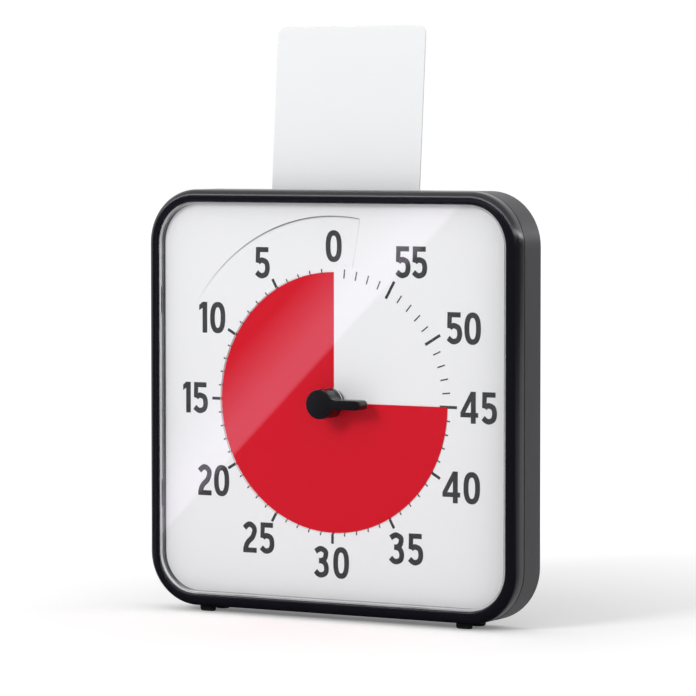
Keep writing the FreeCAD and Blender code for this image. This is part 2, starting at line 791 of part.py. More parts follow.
def make_spindle():
    body = new_body("spindle")
    slab(body, "@spindle_cover + 0.2 - @knob_reach", "@plate_front - 0.4",
         (add_flatted, ("@spindle_radius", "@spindle_flat + @run_gap")))
    slab(body, "@plate_front - 0.4", TRAIN_BACK + " - 0.6", (add_circle, ("@spindle_radius",)))
    slab(body, "%s + @film_gap" % PLATE_BACK, LAYER_A + " - @run_gap", (add_circle, ("@shoulder_radius",)))
    slab(body, TRAIN_BACK + " - 0.6", TRAIN_BACK + " + @pivot_depth", (add_circle, ("@spindle_pivot_radius",)))
    groove_front = "(%s + @wheel_thickness + @washer_height + 2 * @run_gap)" % LAYER_A
    cut_slab(body, groove_front, groove_front + " + @clip_thickness",
             (add_circle, ("@spindle_radius + 1",)), (add_circle, ("@spindle_radius - @clip_groove",)))
    node(body, "spindle")
    ring = new_body("spindle_clip")
    slab(ring, groove_front, groove_front + " + @clip_thickness",
         (add_circle, ("@clip_radius",)), (add_circle, ("@spindle_radius - @clip_groove",)))
    gap = "2 * (@spindle_radius - @clip_groove) * 0.85"
    cut_slab(ring, groove_front, groove_front + " + @clip_thickness",
             (add_rectangle, (gap, "@clip_radius + 1", "0", "@clip_radius / 2 + 0.5")))
    node(ring, "spindle_clip")
    washer_front = value(LAYER_A + " + @wheel_thickness + @run_gap")
    washer_back = washer_front + size("washer_height")
    inner, outer = size("spindle_radius") + size("run_gap"), size("washer_radius")
    steel = 0.25
    profile = Part.makePolygon([
        FreeCAD.Vector(inner, washer_back - steel, 0), FreeCAD.Vector(outer, washer_front, 0),
        FreeCAD.Vector(outer, washer_front + steel, 0), FreeCAD.Vector(inner, washer_back, 0),
        FreeCAD.Vector(inner, washer_back - steel, 0)])
    washer = Part.Face(profile).revolve(FreeCAD.Vector(0, 0, 0), FreeCAD.Vector(0, 1, 0), 360)
    node(place(solid_feature(washer, "washer_shape")), "clutch_washer")


# Wheels: involute teeth with their flanks as arcs

PRESSURE = radians(25)
ADDENDUM = 0.8
DEDENDUM = 1.1


def involute(angle):
    return tan(angle) - angle


def flank_angle(radius, base, half_pitch_angle):
    """Half angle of a tooth at a radius."""
    at = acos(min(1.0, base / radius))
    return half_pitch_angle + involute(PRESSURE) - involute(at)


def gear(teeth, module, phase, front, back):
    """Spur gear square to Y. phase is the direction of one tooth, in degrees from +X towards +Z."""
    teeth = int(round(teeth))
    pitch_radius = teeth * module / 2
    base = pitch_radius * cos(PRESSURE)
    tip = pitch_radius + ADDENDUM * module
    root = pitch_radius - DEDENDUM * module
    half = (pi / 2 - size("backlash") / module / 2) / teeth
    low = max(base, root) + 1e-4
    middle = (low + tip) / 2

    def spot(radius, angle):
        return FreeCAD.Vector(radius * cos(angle), front, radius * sin(angle))

    edges = []
    step = 2 * pi / teeth
    low_half, middle_half, tip_half = (flank_angle(r, base, half) for r in (low, middle, tip))
    for number in range(teeth):
        mid = radians(phase) + number * step
        if low > root + 2e-4:
            edges.append(Part.LineSegment(spot(root, mid - low_half), spot(low, mid - low_half)))
        start = spot(low, mid - low_half) if low > root + 2e-4 else spot(root, mid - low_half)
        edges.append(Part.Arc(start, spot(middle, mid - middle_half), spot(tip, mid - tip_half)))
        edges.append(Part.Arc(spot(tip, mid - tip_half), spot(tip, mid), spot(tip, mid + tip_half)))
        stop = spot(low, mid + low_half) if low > root + 2e-4 else spot(root, mid + low_half)
        edges.append(Part.Arc(spot(tip, mid + tip_half), spot(middle, mid + middle_half), stop))
        if low > root + 2e-4:
            edges.append(Part.LineSegment(spot(low, mid + low_half), spot(root, mid + low_half)))
        gap = mid + step / 2
        edges.append(Part.Arc(spot(root, mid + low_half), spot(root, gap), spot(root, mid + step - low_half)))
    wire = Part.Wire([edge.toShape() for edge in edges])
    return Part.Face(wire).extrude(FreeCAD.Vector(0, back - front, 0))


def centre_distance(module_name, big_name):
    return "(@%s * (@pinion_teeth + @%s) / 2)" % (module_name, big_name)


THIRD_X = "(%s * cos(@third_angle * 1 deg))" % centre_distance("first_module", "big_teeth")
THIRD_Z = "(%s * sin(@third_angle * 1 deg))" % centre_distance("first_module", "big_teeth")
SECOND_X = "(%s + %s * cos(@second_angle * 1 deg))" % (THIRD_X, centre_distance("train_module", "big_teeth"))
SECOND_Z = "(%s + %s * sin(@second_angle * 1 deg))" % (THIRD_Z, centre_distance("train_module", "big_teeth"))
ROTOR_X = "(%s + %s * cos(@rotor_angle * 1 deg))" % (SECOND_X, centre_distance("train_module", "small_teeth"))
ROTOR_Z = "(%s + %s * sin(@rotor_angle * 1 deg))" % (SECOND_Z, centre_distance("train_module", "small_teeth"))


def lighten(wheel, radius, hub, front, back):
    """Cut five round windows between the hub and the rim of a wheel."""
    window = (radius - hub) / 2 * 0.62
    centre = (radius + hub) / 2
    holes = []
    for number in range(5):
        turn = 2 * pi * number / 5 + pi / 2
        spot = FreeCAD.Vector(centre * cos(turn), front - 1, centre * sin(turn))
        holes.append(Part.makeCylinder(window, back - front + 2, spot, FreeCAD.Vector(0, 1, 0)))
    for hole in holes:
        wheel = wheel.cut(hole)
    return wheel


def make_wheels():
    teeth, big, small = size("pinion_teeth"), size("big_teeth"), size("small_teeth")
    first, train = size("first_module"), size("train_module")
    thick = size("wheel_thickness")
    layers = [value(LAYER_A), value(LAYER_B), value(LAYER_C)]
    over = 0.3
    half_tooth = 180 / teeth
    third, second, rotor = size("third_angle"), size("second_angle"), size("rotor_angle")

    wheel = gear(big, first, third, layers[0], layers[0] + thick)
    wheel = lighten(wheel, big * first / 2 - 1.5, 5.5, layers[0], layers[0] + thick)
    bore = Part.makeCylinder(size("spindle_radius") + size("run_gap"), thick + 2,
                             FreeCAD.Vector(0, layers[0] - 1, 0), FreeCAD.Vector(0, 1, 0))
    node(place(solid_feature(wheel.cut(bore), "centre_shape")), "centre_wheel")

    def arbor_set(name, at_x, at_z, pinion_phase, pinion_module, layer, wheel_shape, back=TRAIN_BACK):
        pinion = gear(teeth, pinion_module, pinion_phase, layers[layer] - over, layers[layer] + thick + over)
        parts = [solid_feature(pinion, name + "_pinion")]
        if wheel_shape is not None:
            parts.append(solid_feature(wheel_shape, name + "_teeth"))
        parts.append(cylinder("@arbor_radius", PLATE_BACK + " + 0.2", TRAIN_BACK + " - 0.2"))
        parts.append(cylinder("@pivot_radius", PLATE_BACK + " - @pivot_depth", TRAIN_BACK + " + @pivot_depth"))
        joined = fuse(parts, name + "_set")
        place(joined, at_x, DIAL_Y, "%s + %s" % (DIAL_Z, at_z))
        node(joined, name)

    def train_wheel(count, phase, layer):
        rim = gear(count, train, phase, layers[layer], layers[layer] + thick)
        return lighten(rim, count * train / 2 - 1.2, 3.0, layers[layer], layers[layer] + thick)

    arbor_set("third_wheel", THIRD_X, THIRD_Z, third + 180 + half_tooth, first, 0, train_wheel(big, second, 1))
    arbor_set("second_wheel", SECOND_X, SECOND_Z, second + 180 + half_tooth, train, 1,
              train_wheel(small, rotor, 2))
    arbor_set("rotor", ROTOR_X, ROTOR_Z, rotor + 180 + half_tooth, train, 2, None)
    magnet = new_body("rotor_magnet")
    slab(magnet, MAGNET_FRONT, MAGNET_FRONT + " + @magnet_length",
         (add_circle, ("@magnet_radius",)), (add_circle, ("@arbor_radius",)))
    place(magnet, ROTOR_X, DIAL_Y, "%s + %s" % (DIAL_Z, ROTOR_Z))
    node(magnet, "rotor_magnet")


# Movement: plate, case, stator and coil

ARBORS = [(THIRD_X, THIRD_Z), (SECOND_X, SECOND_Z), (ROTOR_X, ROTOR_Z)]
MOVEMENT_MID_Z = "((@movement_top - @movement_bottom) / 2)"
MOVEMENT_HIGH = "(@movement_top + @movement_bottom)"
MOVEMENT_SCREWS = []
for side in ("-", "+"):
    for end in ("@movement_top - @movement_ear / 2", "@movement_ear / 2 - @movement_bottom"):
        MOVEMENT_SCREWS.append((side + "(@movement_width / 2 + @movement_ear / 2)", "(%s)" % end))


def make_movement():
    plate = new_body("movement_plate")
    inner_wide = "@movement_width - 2 * @movement_wall - 2 * @run_gap"
    inner_high = MOVEMENT_HIGH + " - 2 * @movement_wall - 2 * @run_gap"
    slab(plate, "@plate_front", PLATE_BACK, (add_rounded, (inner_wide, inner_high, "2", "0", MOVEMENT_MID_Z)),
         (add_circle, ("@spindle_radius + @run_gap",)))
    bores = [(add_circle, ("@pivot_radius + @run_gap", a, b)) for a, b in ARBORS]
    cut_slab(plate, PLATE_BACK + " - @pivot_depth - 0.2", PLATE_BACK, *bores)
    node(plate, "movement_plate")

    case = new_body("movement_case")
    slab(case, "@plate_front + 0.3", "@movement_rear",
         (add_rounded, ("@movement_width", MOVEMENT_HIGH, "3", "0", MOVEMENT_MID_Z)))
    cut_slab(case, "@plate_front + 0.3", TRAIN_BACK,
             (add_rounded, ("@movement_width - 2 * @movement_wall", MOVEMENT_HIGH + " - 2 * @movement_wall",
                            "2", "0", MOVEMENT_MID_Z)))
    ledge = []
    for a in ("-", "+"):
        for b in ("@movement_top - @movement_wall - 2", "@movement_wall + 2 - @movement_bottom"):
            ledge.append((add_rectangle, ("4.4", "4.4", a + "(@movement_width / 2 - @movement_wall - 2)", b)))
    slab(case, PLATE_BACK, TRAIN_BACK + " + 0.1", *ledge)
    ears = [(add_rounded, ("@movement_ear + 1", "@movement_ear", "2", a, b)) for a, b in MOVEMENT_SCREWS]
    slab(case, TRAIN_BACK, "@movement_rear", *ears)
    holes = [(add_circle, ("@movement_screw_radius + 0.1", a, b)) for a, b in MOVEMENT_SCREWS]
    cut_slab(case, TRAIN_BACK, "@movement_rear", *holes)
    bores = [(add_circle, ("@pivot_radius + @run_gap", a, b)) for a, b in ARBORS]
    bores.append((add_circle, ("@spindle_pivot_radius + @run_gap",)))
    cut_slab(case, TRAIN_BACK, TRAIN_BACK + " + @pivot_depth + 0.2", *bores)
    node(case, "movement_case")

    stator = new_body("stator")
    top = "(%s + @stator_yoke / 2)" % ROTOR_Z
    foot = "(%s - @core_height / 2)" % COIL_Z
    left = "(%s - @stator_width / 2)" % COIL_X
    right = "(%s + @stator_width / 2)" % COIL_X
    inside_left, inside_right = left + " + @stator_leg", right + " - @stator_leg"
    yoke = "(%s - @stator_yoke / 2)" % ROTOR_Z
    slab(stator, STATOR_FRONT, STATOR_FRONT + " + @stator_thickness",
         (add_polygon, ([(left, foot), (inside_left, foot), (inside_left, yoke), (inside_right, yoke),
                         (inside_right, foot), (right, foot), (right, top), (left, top)],)),
         (add_circle, ("@magnet_radius + @rotor_air_gap", ROTOR_X, ROTOR_Z)),
         (add_circle, ("@arbor_radius + @film_gap", SECOND_X, SECOND_Z)))
    node(stator, "stator")

    core = new_body("coil_core")
    slab(core, STATOR_FRONT + " - @core_thickness", STATOR_FRONT,
         (add_rectangle, ("@stator_width", "@core_height", COIL_X, COIL_Z)))
    node(core, "coil_core")
    core_y = "(%s - @core_thickness / 2)" % STATOR_FRONT
    bobbin = new_body("coil_bobbin")
    tube_deep = "@core_thickness + 2 * @run_gap + 2 * @bobbin_tube"
    tube_high = "@core_height + 2 * @run_gap + 2 * @bobbin_tube"
    first = "(%s - @bobbin_length / 2)" % COIL_X
    last = "(%s + @bobbin_length / 2)" % COIL_X
    bar(bobbin, first, last, (add_rectangle, (tube_deep, tube_high, core_y, COIL_Z)))
    flange = (add_rectangle, ("@bobbin_outer", "@bobbin_outer", core_y, COIL_Z))
    bar(bobbin, first, first + " + @bobbin_flange", flange)
    bar(bobbin, last + " - @bobbin_flange", last, flange)
    cut_bar(bobbin, first, last, (add_rectangle, ("@core_thickness + 2 * @run_gap", "@core_height + 2 * @run_gap",
                                                  core_y, COIL_Z)))
    node(bobbin, "coil_bobbin")
    winding = new_body("coil_winding")
    wound = "@bobbin_outer - 1"
    bar(winding, first + " + @bobbin_flange", last + " - @bobbin_flange",
        (add_rounded, (wound, wound, "2", core_y, COIL_Z)), (add_rectangle, (tube_deep, tube_high, core_y, COIL_Z)))
    node(winding, "coil_winding")

    shafts = []
    for a, b in MOVEMENT_SCREWS:
        shafts.append(cylinder("@movement_screw_radius", TRAIN_BACK, "@cover_rear - @rear_wall - 1", a, b))
        shafts.append(cylinder("@movement_screw_radius * 1.9", TRAIN_BACK + " - 1.4", TRAIN_BACK, a, b))
    screws = place(fuse(shafts, "movement_screw_set"))
    node(screws, "movement_screws")


COIL_X = "(%s + 3)" % ROTOR_X
COIL_Z = "(%s - @stator_yoke / 2 - @bobbin_outer / 2 - 0.6)" % ROTOR_Z


# Circuit board and what is soldered on it

BOARD_MID_Z = "(@movement_top - 2 - @board_height / 2)"
STEM_SLOT_WIDE = "(@switch_travel + @slider_stem + 2 * @slider_play)"
STEM_SLOT_HIGH = "(@slider_stem_height + 2 * @slider_play)"


def make_board():
    board = new_body("circuit_board")
    slab(board, BOARD_FRONT, BOARD_BACK, (add_rounded, ("@board_width", "@board_height", "1.5", "0", BOARD_MID_Z)))
    node(board, "circuit_board")
    chip = new_body("control_chip")
    slab(chip, BOARD_BACK, BOARD_BACK + " + @chip_height",
         (add_rectangle, ("@chip_side", "@chip_side", "0", BOARD_MID_Z)))
    node(chip, "control_chip")
    crystal = new_body("quartz_crystal")
    bar(crystal, "@crystal_x", "@crystal_x + @crystal_length",
        (add_circle, ("@crystal_radius", BOARD_BACK + " + @crystal_radius", BOARD_MID_Z + " - @crystal_drop")))
    node(crystal, "quartz_crystal")
    buzzer = new_body("buzzer")
    slab(buzzer, BOARD_BACK, BOARD_BACK + " + @buzzer_height",
         (add_circle, ("@buzzer_radius", "@buzzer_x", "@buzzer_z")))
    cut_slab(buzzer, BOARD_BACK + " + @buzzer_height - @buzzer_port_depth", BOARD_BACK + " + @buzzer_height",
             (add_circle, ("@buzzer_port", "@buzzer_x", "@buzzer_z")))
    node(buzzer, "buzzer")
    switch = new_body("switch_body")
    switch_back = "(%s + @switch_depth)" % BOARD_BACK
    slab(switch, BOARD_BACK, switch_back,
         (add_rectangle, ("@switch_length", "@switch_height", "@switch_x", "@switch_z")))
    cut_slab(switch, switch_back + " - @switch_slot_depth", switch_back,
             (add_rectangle, (STEM_SLOT_WIDE, STEM_SLOT_HIGH, "@switch_x", "@switch_z")))
    node(switch, "switch_body")
    slider = new_body("alert_switch")
    cap_front = "(@cover_rear - @slider_recess + @slider_play)"
    cap_back = "(@cover_rear - @slider_sink)"
    at_x = "(@switch_x - @switch_travel / 2)"
    slab(slider, cap_front, cap_back, (add_rounded, ("@slider_length", "@slider_height", "1", at_x, "@switch_z")))
    stem_front = "(%s - @switch_slot_depth + @stem_end_gap)" % switch_back
    slab(slider, stem_front, cap_front,
         (add_rectangle, ("@slider_stem", "@slider_stem_height", at_x, "@switch_z")))
    ribs = []
    for number in (-1, 0, 1):
        ribs.append((add_rectangle, ("@slider_rib", "@slider_height + 1",
                                     "%s + %d * @slider_rib_pitch" % (at_x, number), "@switch_z")))
    cut_slab(slider, cap_back + " - @slider_rib_depth", cap_back, *ribs)
    node(slider, "alert_switch")


# Battery, its box, contacts and door

def make_battery():
    mid_z = "(-@battery_drop)"
    cell = new_body("battery")
    left = "(-@battery_length / 2)"
    bar(cell, left, left + " + @battery_length - @battery_nub",
        (add_circle, ("@battery_radius", BATTERY_Y, mid_z)))
    bar(cell, left + " + @battery_length - @battery_nub", left + " + @battery_length",
        (add_circle, ("@battery_nub_radius", BATTERY_Y, mid_z)))
    end = value(left)
    dress(cell, "Fillet", "0.5", lambda p: abs(p.x - end) < 1e-3)
    node(cell, "battery")

    tray = new_body("battery_box")
    outer = "@box_length + 2 * @box_wall"
    slab(tray, BOX_FLOOR + " - @box_wall", PAD_FRONT,
         (add_rectangle, (outer, "@box_height + 2 * @box_wall", "0", mid_z)))
    cut_slab(tray, BOX_FLOOR, PAD_FRONT, (add_rectangle, ("@box_length", "@box_height", "0", mid_z)))
    slits = []
    for side in ("-", "+"):
        slits.append((add_rectangle, ("@contact_thickness + 0.3", "@box_wall + 4",
                                      side + "(@box_length / 2 - @contact_thickness / 2)",
                                      mid_z + " + @box_height / 2 + @box_wall / 2 + 1")))
    cut_slab(tray, LEAD_FRONT + " - 0.2", LEAD_FRONT + " + @contact_lead + 0.2", *slits)
    node(tray, "battery_box")
    make_contact("battery_contact_plus", "+", 1)
    make_contact("battery_contact_minus", "-", 2)
    make_door(mid_z)


def make_contact(name, side, spring):
    """Strip that stands at one end of the box and runs up to the board.

    The plus strip is flat with a low button; the minus strip carries a bent leaf that presses on the cell."""
    sign = 1 if side == "+" else -1
    body = new_body(name)
    mid_z = "(-@battery_drop)"
    outer_x = "%d * (@box_length / 2)" % sign
    inner_x = "%d * (@box_length / 2 - @contact_thickness)" % sign
    left, right = (inner_x, outer_x) if sign > 0 else (outer_x, inner_x)
    plate = (add_rectangle, ("@contact_width", "@box_height - 2", BATTERY_Y, mid_z))
    bar(body, left, right, plate)
    lead_low = mid_z + " + @box_height / 2 - 1.2"
    lead_high = "%s - @board_height / 2 + @contact_overlap" % BOARD_MID_Z
    lead_mid = "((%s + %s) / 2)" % (lead_low, lead_high)
    bar(body, left, right, (add_rectangle, ("@contact_lead", "(%s) - (%s)" % (lead_high, lead_low),
                                            LEAD_FRONT + " + @contact_lead / 2", lead_mid)))
    if spring == 1:
        bar(body, "@battery_length / 2", "@box_length / 2 - @contact_thickness",
            (add_circle, ("@battery_nub_radius", BATTERY_Y, mid_z)))
    else:
        cell_end = "-@battery_length / 2"
        wall = "-@box_length / 2 + @contact_thickness"
        leaf_y = "(@contact_width - 2)"
        sketch = new_sketch(body, "XY_Plane", "%s - @leaf_width / 2" % mid_z)
        low, high = "%s - %s / 2" % (BATTERY_Y, leaf_y), "%s + %s / 2" % (BATTERY_Y, leaf_y)
        thick = "@contact_thickness"
        add_polygon(sketch, [(wall, low), (cell_end, BATTERY_Y + " - 1"), (cell_end, BATTERY_Y + " + 1"),
                             (wall, high), (wall, "%s - 1.2 * %s" % (high, thick)),
                             (cell_end + " - " + thick, BATTERY_Y + " + 0.6"),
                             (cell_end + " - " + thick, BATTERY_Y + " - 0.6"),
                             (wall, "%s + 1.2 * %s" % (low, thick))])
        feature(body, "Pad", sketch, "@leaf_width", False)
    node(body, name)


DOOR_WIDE = "(@box_length + 2 * @door_margin)"
DOOR_HIGH = "(@box_height + 2 * @door_margin)"
DOOR_HINGE_Y = "(@cover_rear - @door_thickness / 2)"
DOOR_HINGE_Z = "(-@battery_drop - %s / 2 + @door_thickness / 2)" % DOOR_HIGH


def make_door(mid_z):
    door = new_body("battery_door")
    half = "(%s / 2)" % DOOR_WIDE
    upper = "(%s + %s / 2)" % (mid_z, DOOR_HIGH)
    upper_mid = "((%s + %s) / 2)" % (upper, DOOR_HINGE_Z)
    bar(door, "-" + half, half, (add_rectangle, ("@door_thickness", "%s - %s" % (upper, DOOR_HINGE_Z),
                                                 DOOR_HINGE_Y, upper_mid)))
    bar(door, "-" + half, half, (add_circle, ("@door_thickness / 2", DOOR_HINGE_Y, DOOR_HINGE_Z)))
    bar(door, "-%s - @door_pin_length" % half, half + " + @door_pin_length",
        (add_circle, ("@door_pin_radius", DOOR_HINGE_Y, DOOR_HINGE_Z)))
    for number in range(3):
        grip = "%s - @door_grip_first - %d * @door_grip_pitch" % (upper, number)
        cut_bar(door, "-@door_grip_width / 2", "@door_grip_width / 2",
                (add_rectangle, ("@door_grip_side", "@door_grip_side", "@cover_rear", grip)))
    node(door, "battery_door")


# Rear cover

def make_cover():
    body = new_body("rear_cover")
    slab(body, COVER_FRONT, "@cover_rear", (add_rounded, ("@case_side", "@case_side", "@corner_radius")))
    rear = value("@cover_rear")
    dress(body, "Fillet", "@rear_round", lambda p: abs(p.y - rear) < 1e-3)
    inner = "(@case_side - 2 * @side_wall)"
    cut_slab(body, COVER_FRONT, COVER_INSIDE, (add_rounded, (inner, inner, "@corner_radius - @side_wall")))
    tongue_out = "(@case_side - 2 * @side_wall - 2 * @fit_gap)"
    tongue_in = "(%s - 2 * @tongue_wall)" % tongue_out
    root = "(%s + 3)" % COVER_FRONT
    slab(body, COVER_FRONT + " - @tongue_height", root,
         (add_rounded, (tongue_out, tongue_out, "@corner_radius - @side_wall - @fit_gap")),
         (add_rounded, (tongue_in, tongue_in, "@corner_radius - @side_wall - @fit_gap - @tongue_wall")))
    inner_lip = "@case_side - 2 * @side_wall"
    slab(body, COVER_FRONT, root, (add_rounded, (inner_lip, inner_lip, "@corner_radius - @side_wall")),
         (add_rounded, (tongue_in, tongue_in, "@corner_radius - @side_wall - @fit_gap - @tongue_wall")))

    post_front = "@dial_thickness + @ear_thickness"
    posts = [(add_circle, ("@post_radius", a, b)) for a, b, upright in EAR_PLACES]
    slab(body, post_front, COVER_INSIDE + " + 0.5", *posts)
    movement_posts = [(add_circle, ("@movement_ear / 2 - 1", a, b)) for a, b in MOVEMENT_SCREWS]
    slab(body, "@movement_rear", COVER_INSIDE + " + 0.5", *movement_posts)
    mid_z = "(-@battery_drop)"
    slab(body, PAD_FRONT, COVER_INSIDE + " + 0.5",
         (add_rounded, (DOOR_WIDE + " + 2 * @pad_margin", DOOR_HIGH + " + @pad_margin", "3", "0", mid_z)))

    shanks = [(add_circle, ("@screw_radius + @screw_gap", a, b)) for a, b, upright in EAR_PLACES]
    cut_slab(body, post_front, "@cover_rear", *shanks)
    sinks = [(add_circle, ("@screw_head_radius + @screw_gap", a, b)) for a, b, upright in EAR_PLACES]
    cut_slab(body, "@cover_rear - @screw_sink", "@cover_rear", *sinks)
    pilots = [(add_circle, ("@movement_screw_radius + @thread_gap", a, b)) for a, b in MOVEMENT_SCREWS]
    cut_slab(body, "@movement_rear", COVER_INSIDE, *pilots)

    cut_slab(body, PAD_FRONT, "@cover_rear", (add_rectangle, ("@box_length", "@box_height", "0", mid_z)))
    cut_slab(body, DOOR_INNER + " - @door_gap", "@cover_rear",
             (add_rectangle, (DOOR_WIDE + " + 2 * @door_gap", DOOR_HIGH + " + 2 * @door_gap", "0", mid_z)))
    hinge_reach = "(%s / 2 + @door_pin_length + @door_gap)" % DOOR_WIDE
    cut_bar(body, "-" + hinge_reach, hinge_reach,
            (add_circle, ("@door_pin_radius + @run_gap", DOOR_HINGE_Y, DOOR_HINGE_Z)))
    cut_slab(body, DOOR_INNER + " + 0.7", "@cover_rear",
             (add_rounded, ("@finger_width", "@finger_height", "@finger_height / 2 - 0.1", "0",
                            "%s + %s / 2 + 1" % (mid_z, DOOR_HIGH))))

    cap = "@slider_length + @switch_travel + 2 * @slider_play"
    cut_slab(body, "@cover_rear - @slider_recess", "@cover_rear",
             (add_rounded, (cap, "@slider_height + 2 * @slider_play", "1", "@switch_x", "@switch_z")))
    cut_slab(body, COVER_INSIDE, "@cover_rear",
             (add_rectangle, (STEM_SLOT_WIDE, STEM_SLOT_HIGH, "@switch_x", "@switch_z")))
    slots = []
    for number in range(int(size("sound_slots"))):
        shift = "(%d - (@sound_slots - 1) / 2) * @sound_pitch" % number
        slots.append((add_rounded, ("@sound_length", "@sound_width", "@sound_width / 2 - 0.01", "@buzzer_x",
                                    "@buzzer_z + " + shift)))
    cut_slab(body, COVER_INSIDE, "@cover_rear", *slots)

    heads = [(add_circle, ("@keyhole_head", side + KEYHOLE_X, KEYHOLE_Z)) for side in ("-", "+")]
    cut_slab(body, COVER_INSIDE, "@cover_rear", *heads)
    necks = []
    for side in ("-", "+"):
        necks.append((add_rounded, ("2 * @keyhole_neck", "@keyhole_rise + @keyhole_neck", "@keyhole_neck - 0.01",
                                    side + KEYHOLE_X, KEYHOLE_Z + " + (@keyhole_rise + @keyhole_neck) / 2")))
    cut_slab(body, COVER_INSIDE, "@cover_rear", *necks)

    slot_wide = "@card_width + 2 * @card_gap + 1"
    cut_block(body, "@case_side / 2 - @side_wall", "@case_side / 2",
              (add_rectangle, (slot_wide, "@card_thickness + 2 * @card_gap + 1.4", "0", "@card_depth")))
    sockets = []
    for side in ("-", "+"):
        sockets.append((add_circle, ("@foot_stem_radius", side + FOOT_X, "@rear_foot_depth")))
    cut_block(body, "-@case_side / 2", "@foot_stem_height - @case_side / 2", *sockets)
    node(body, "rear_cover")


# Feet

def make_feet():
    low, high = "-@foot_height - @case_side / 2", "-@case_side / 2"
    for end, side in (("left", "-"), ("right", "+")):
        for row in ("front", "rear"):
            body = new_body("foot_%s_%s" % (row, end))
            at_x = side + FOOT_X
            if row == "front":
                at_y = "@front_foot_depth"
                pad = (add_rounded, ("@front_foot_width", "@front_foot_length", "@front_foot_length / 2 - 0.1",
                                     at_x, at_y))
            else:
                at_y = "@rear_foot_depth"
                pad = (add_circle, ("@rear_foot_radius", at_x, at_y))
            block(body, low, high, pad)
            bottom = value(low)
            dress(body, "Fillet", "@foot_round", lambda p: abs(p.z - bottom) < 1e-3)
            block(body, high, "%s + @foot_stem_height" % high, (add_circle, ("@foot_stem_radius", at_x, at_y)))
            node(body, "foot_%s_%s" % (row, end))


# Case screws

def make_screws():
    parts = []
    head_front = "(@cover_rear - @screw_sink)"
    for a, b, upright in EAR_PLACES:
        parts.append(cylinder("@screw_radius", "@dial_thickness + 1", head_front, a, b))
        head = cylinder("@screw_head_radius", head_front, head_front + " + @screw_head_height", a, b)
        recess = 0.7
        bar_a = box("@screw_head_radius", "1", "%g" % recess, "(%s) - @screw_head_radius / 2" % a,
                    head_front + " + @screw_head_height - 0.8", "(%s) - %g" % (b, recess / 2))
        bar_b = box("%g" % recess, "1", "@screw_head_radius", "(%s) - %g" % (a, recess / 2),
                    head_front + " + @screw_head_height - 0.8", "(%s) - @screw_head_radius / 2" % b)
        parts.append(cut(head, fuse([bar_a, bar_b])))
    node(place(fuse(parts, "case_screw_set")), "case_screws")


# Dry-erase card and the sleeve that holds its foot

def lean(item, at_y, at_z):
    """Lean a piece back about X and carry it to its place."""
    place(item, "0", "%s + %s" % (DIAL_Y, at_y), "%s + %s" % (DIAL_Z, at_z))
    item.setExpression(".Placement.Rotation.Axis.x", "1")
    item.setExpression(".Placement.Rotation.Axis.y", "0")
    item.setExpression(".Placement.Rotation.Axis.z", "0")
    item.setExpression(".Placement.Rotation.Angle", d("-@card_lean"))


def make_card():
    body = new_body("dry_erase_card")
    high = "(@card_shown + @card_hidden)"
    slab(body, "-@card_thickness / 2", "@card_thickness / 2",
         (add_rounded, ("@card_width", high, "@card_round", "0", high + " / 2 - @card_hidden")))
    lean(body, "@card_depth", "@case_side / 2")
    node(body, "dry_erase_card")

    inner_wide = "@card_width + 2 * @card_gap"
    inner_deep = "@card_thickness + 2 * @card_gap"
    top = "(-@side_wall)"
    floor = "(-@card_hidden - @film_gap)"
    sleeve = new_body("card_sleeve")
    block(sleeve, floor + " - @sleeve_wall", top + " - 0.6",
          (add_rectangle, (inner_wide + " + 2 * @sleeve_wall", inner_deep + " + 2 * @sleeve_wall")))
    block(sleeve, top + " - 2.2", top + " - 0.6",
          (add_rectangle, (inner_wide + " + 2 * @sleeve_wall", inner_deep + " + 2 * @sleeve_wall + @sleeve_flange")))
    cut_block(sleeve, floor, top, (add_rectangle, (inner_wide, inner_deep)))
    lean(sleeve, "@card_depth", "@case_side / 2")
    node(sleeve, "card_sleeve")


make_bezel()
make_lens()
make_dial()
make_film()
make_hub()
make_knob()
make_spindle()
make_wheels()
make_movement()
make_board()
make_battery()
make_cover()
make_feet()
make_screws()
make_card()
doc.recompute()

# Every feature must be sound before any file is written.
for item in doc.Objects:
    if "Invalid" in item.State or "Error" in item.State:
        raise RuntimeError("%s failed: %s" % (item.Name, item.State))
os.makedirs("parts", exist_ok=True)
for item in PIECES:
    shape = item.Shape
    if shape.isNull() or not shape.isValid() or not shape.Solids:
        raise RuntimeError("%s has no sound solid" % item.Label)
    shape.exportStep("parts/%s.step" % item.Label)
    print("%-24s solids %2d  volume %10.1f mm3" % (item.Label, len(shape.Solids), shape.Volume))
print("nodes:", len(PIECES))
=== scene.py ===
import json

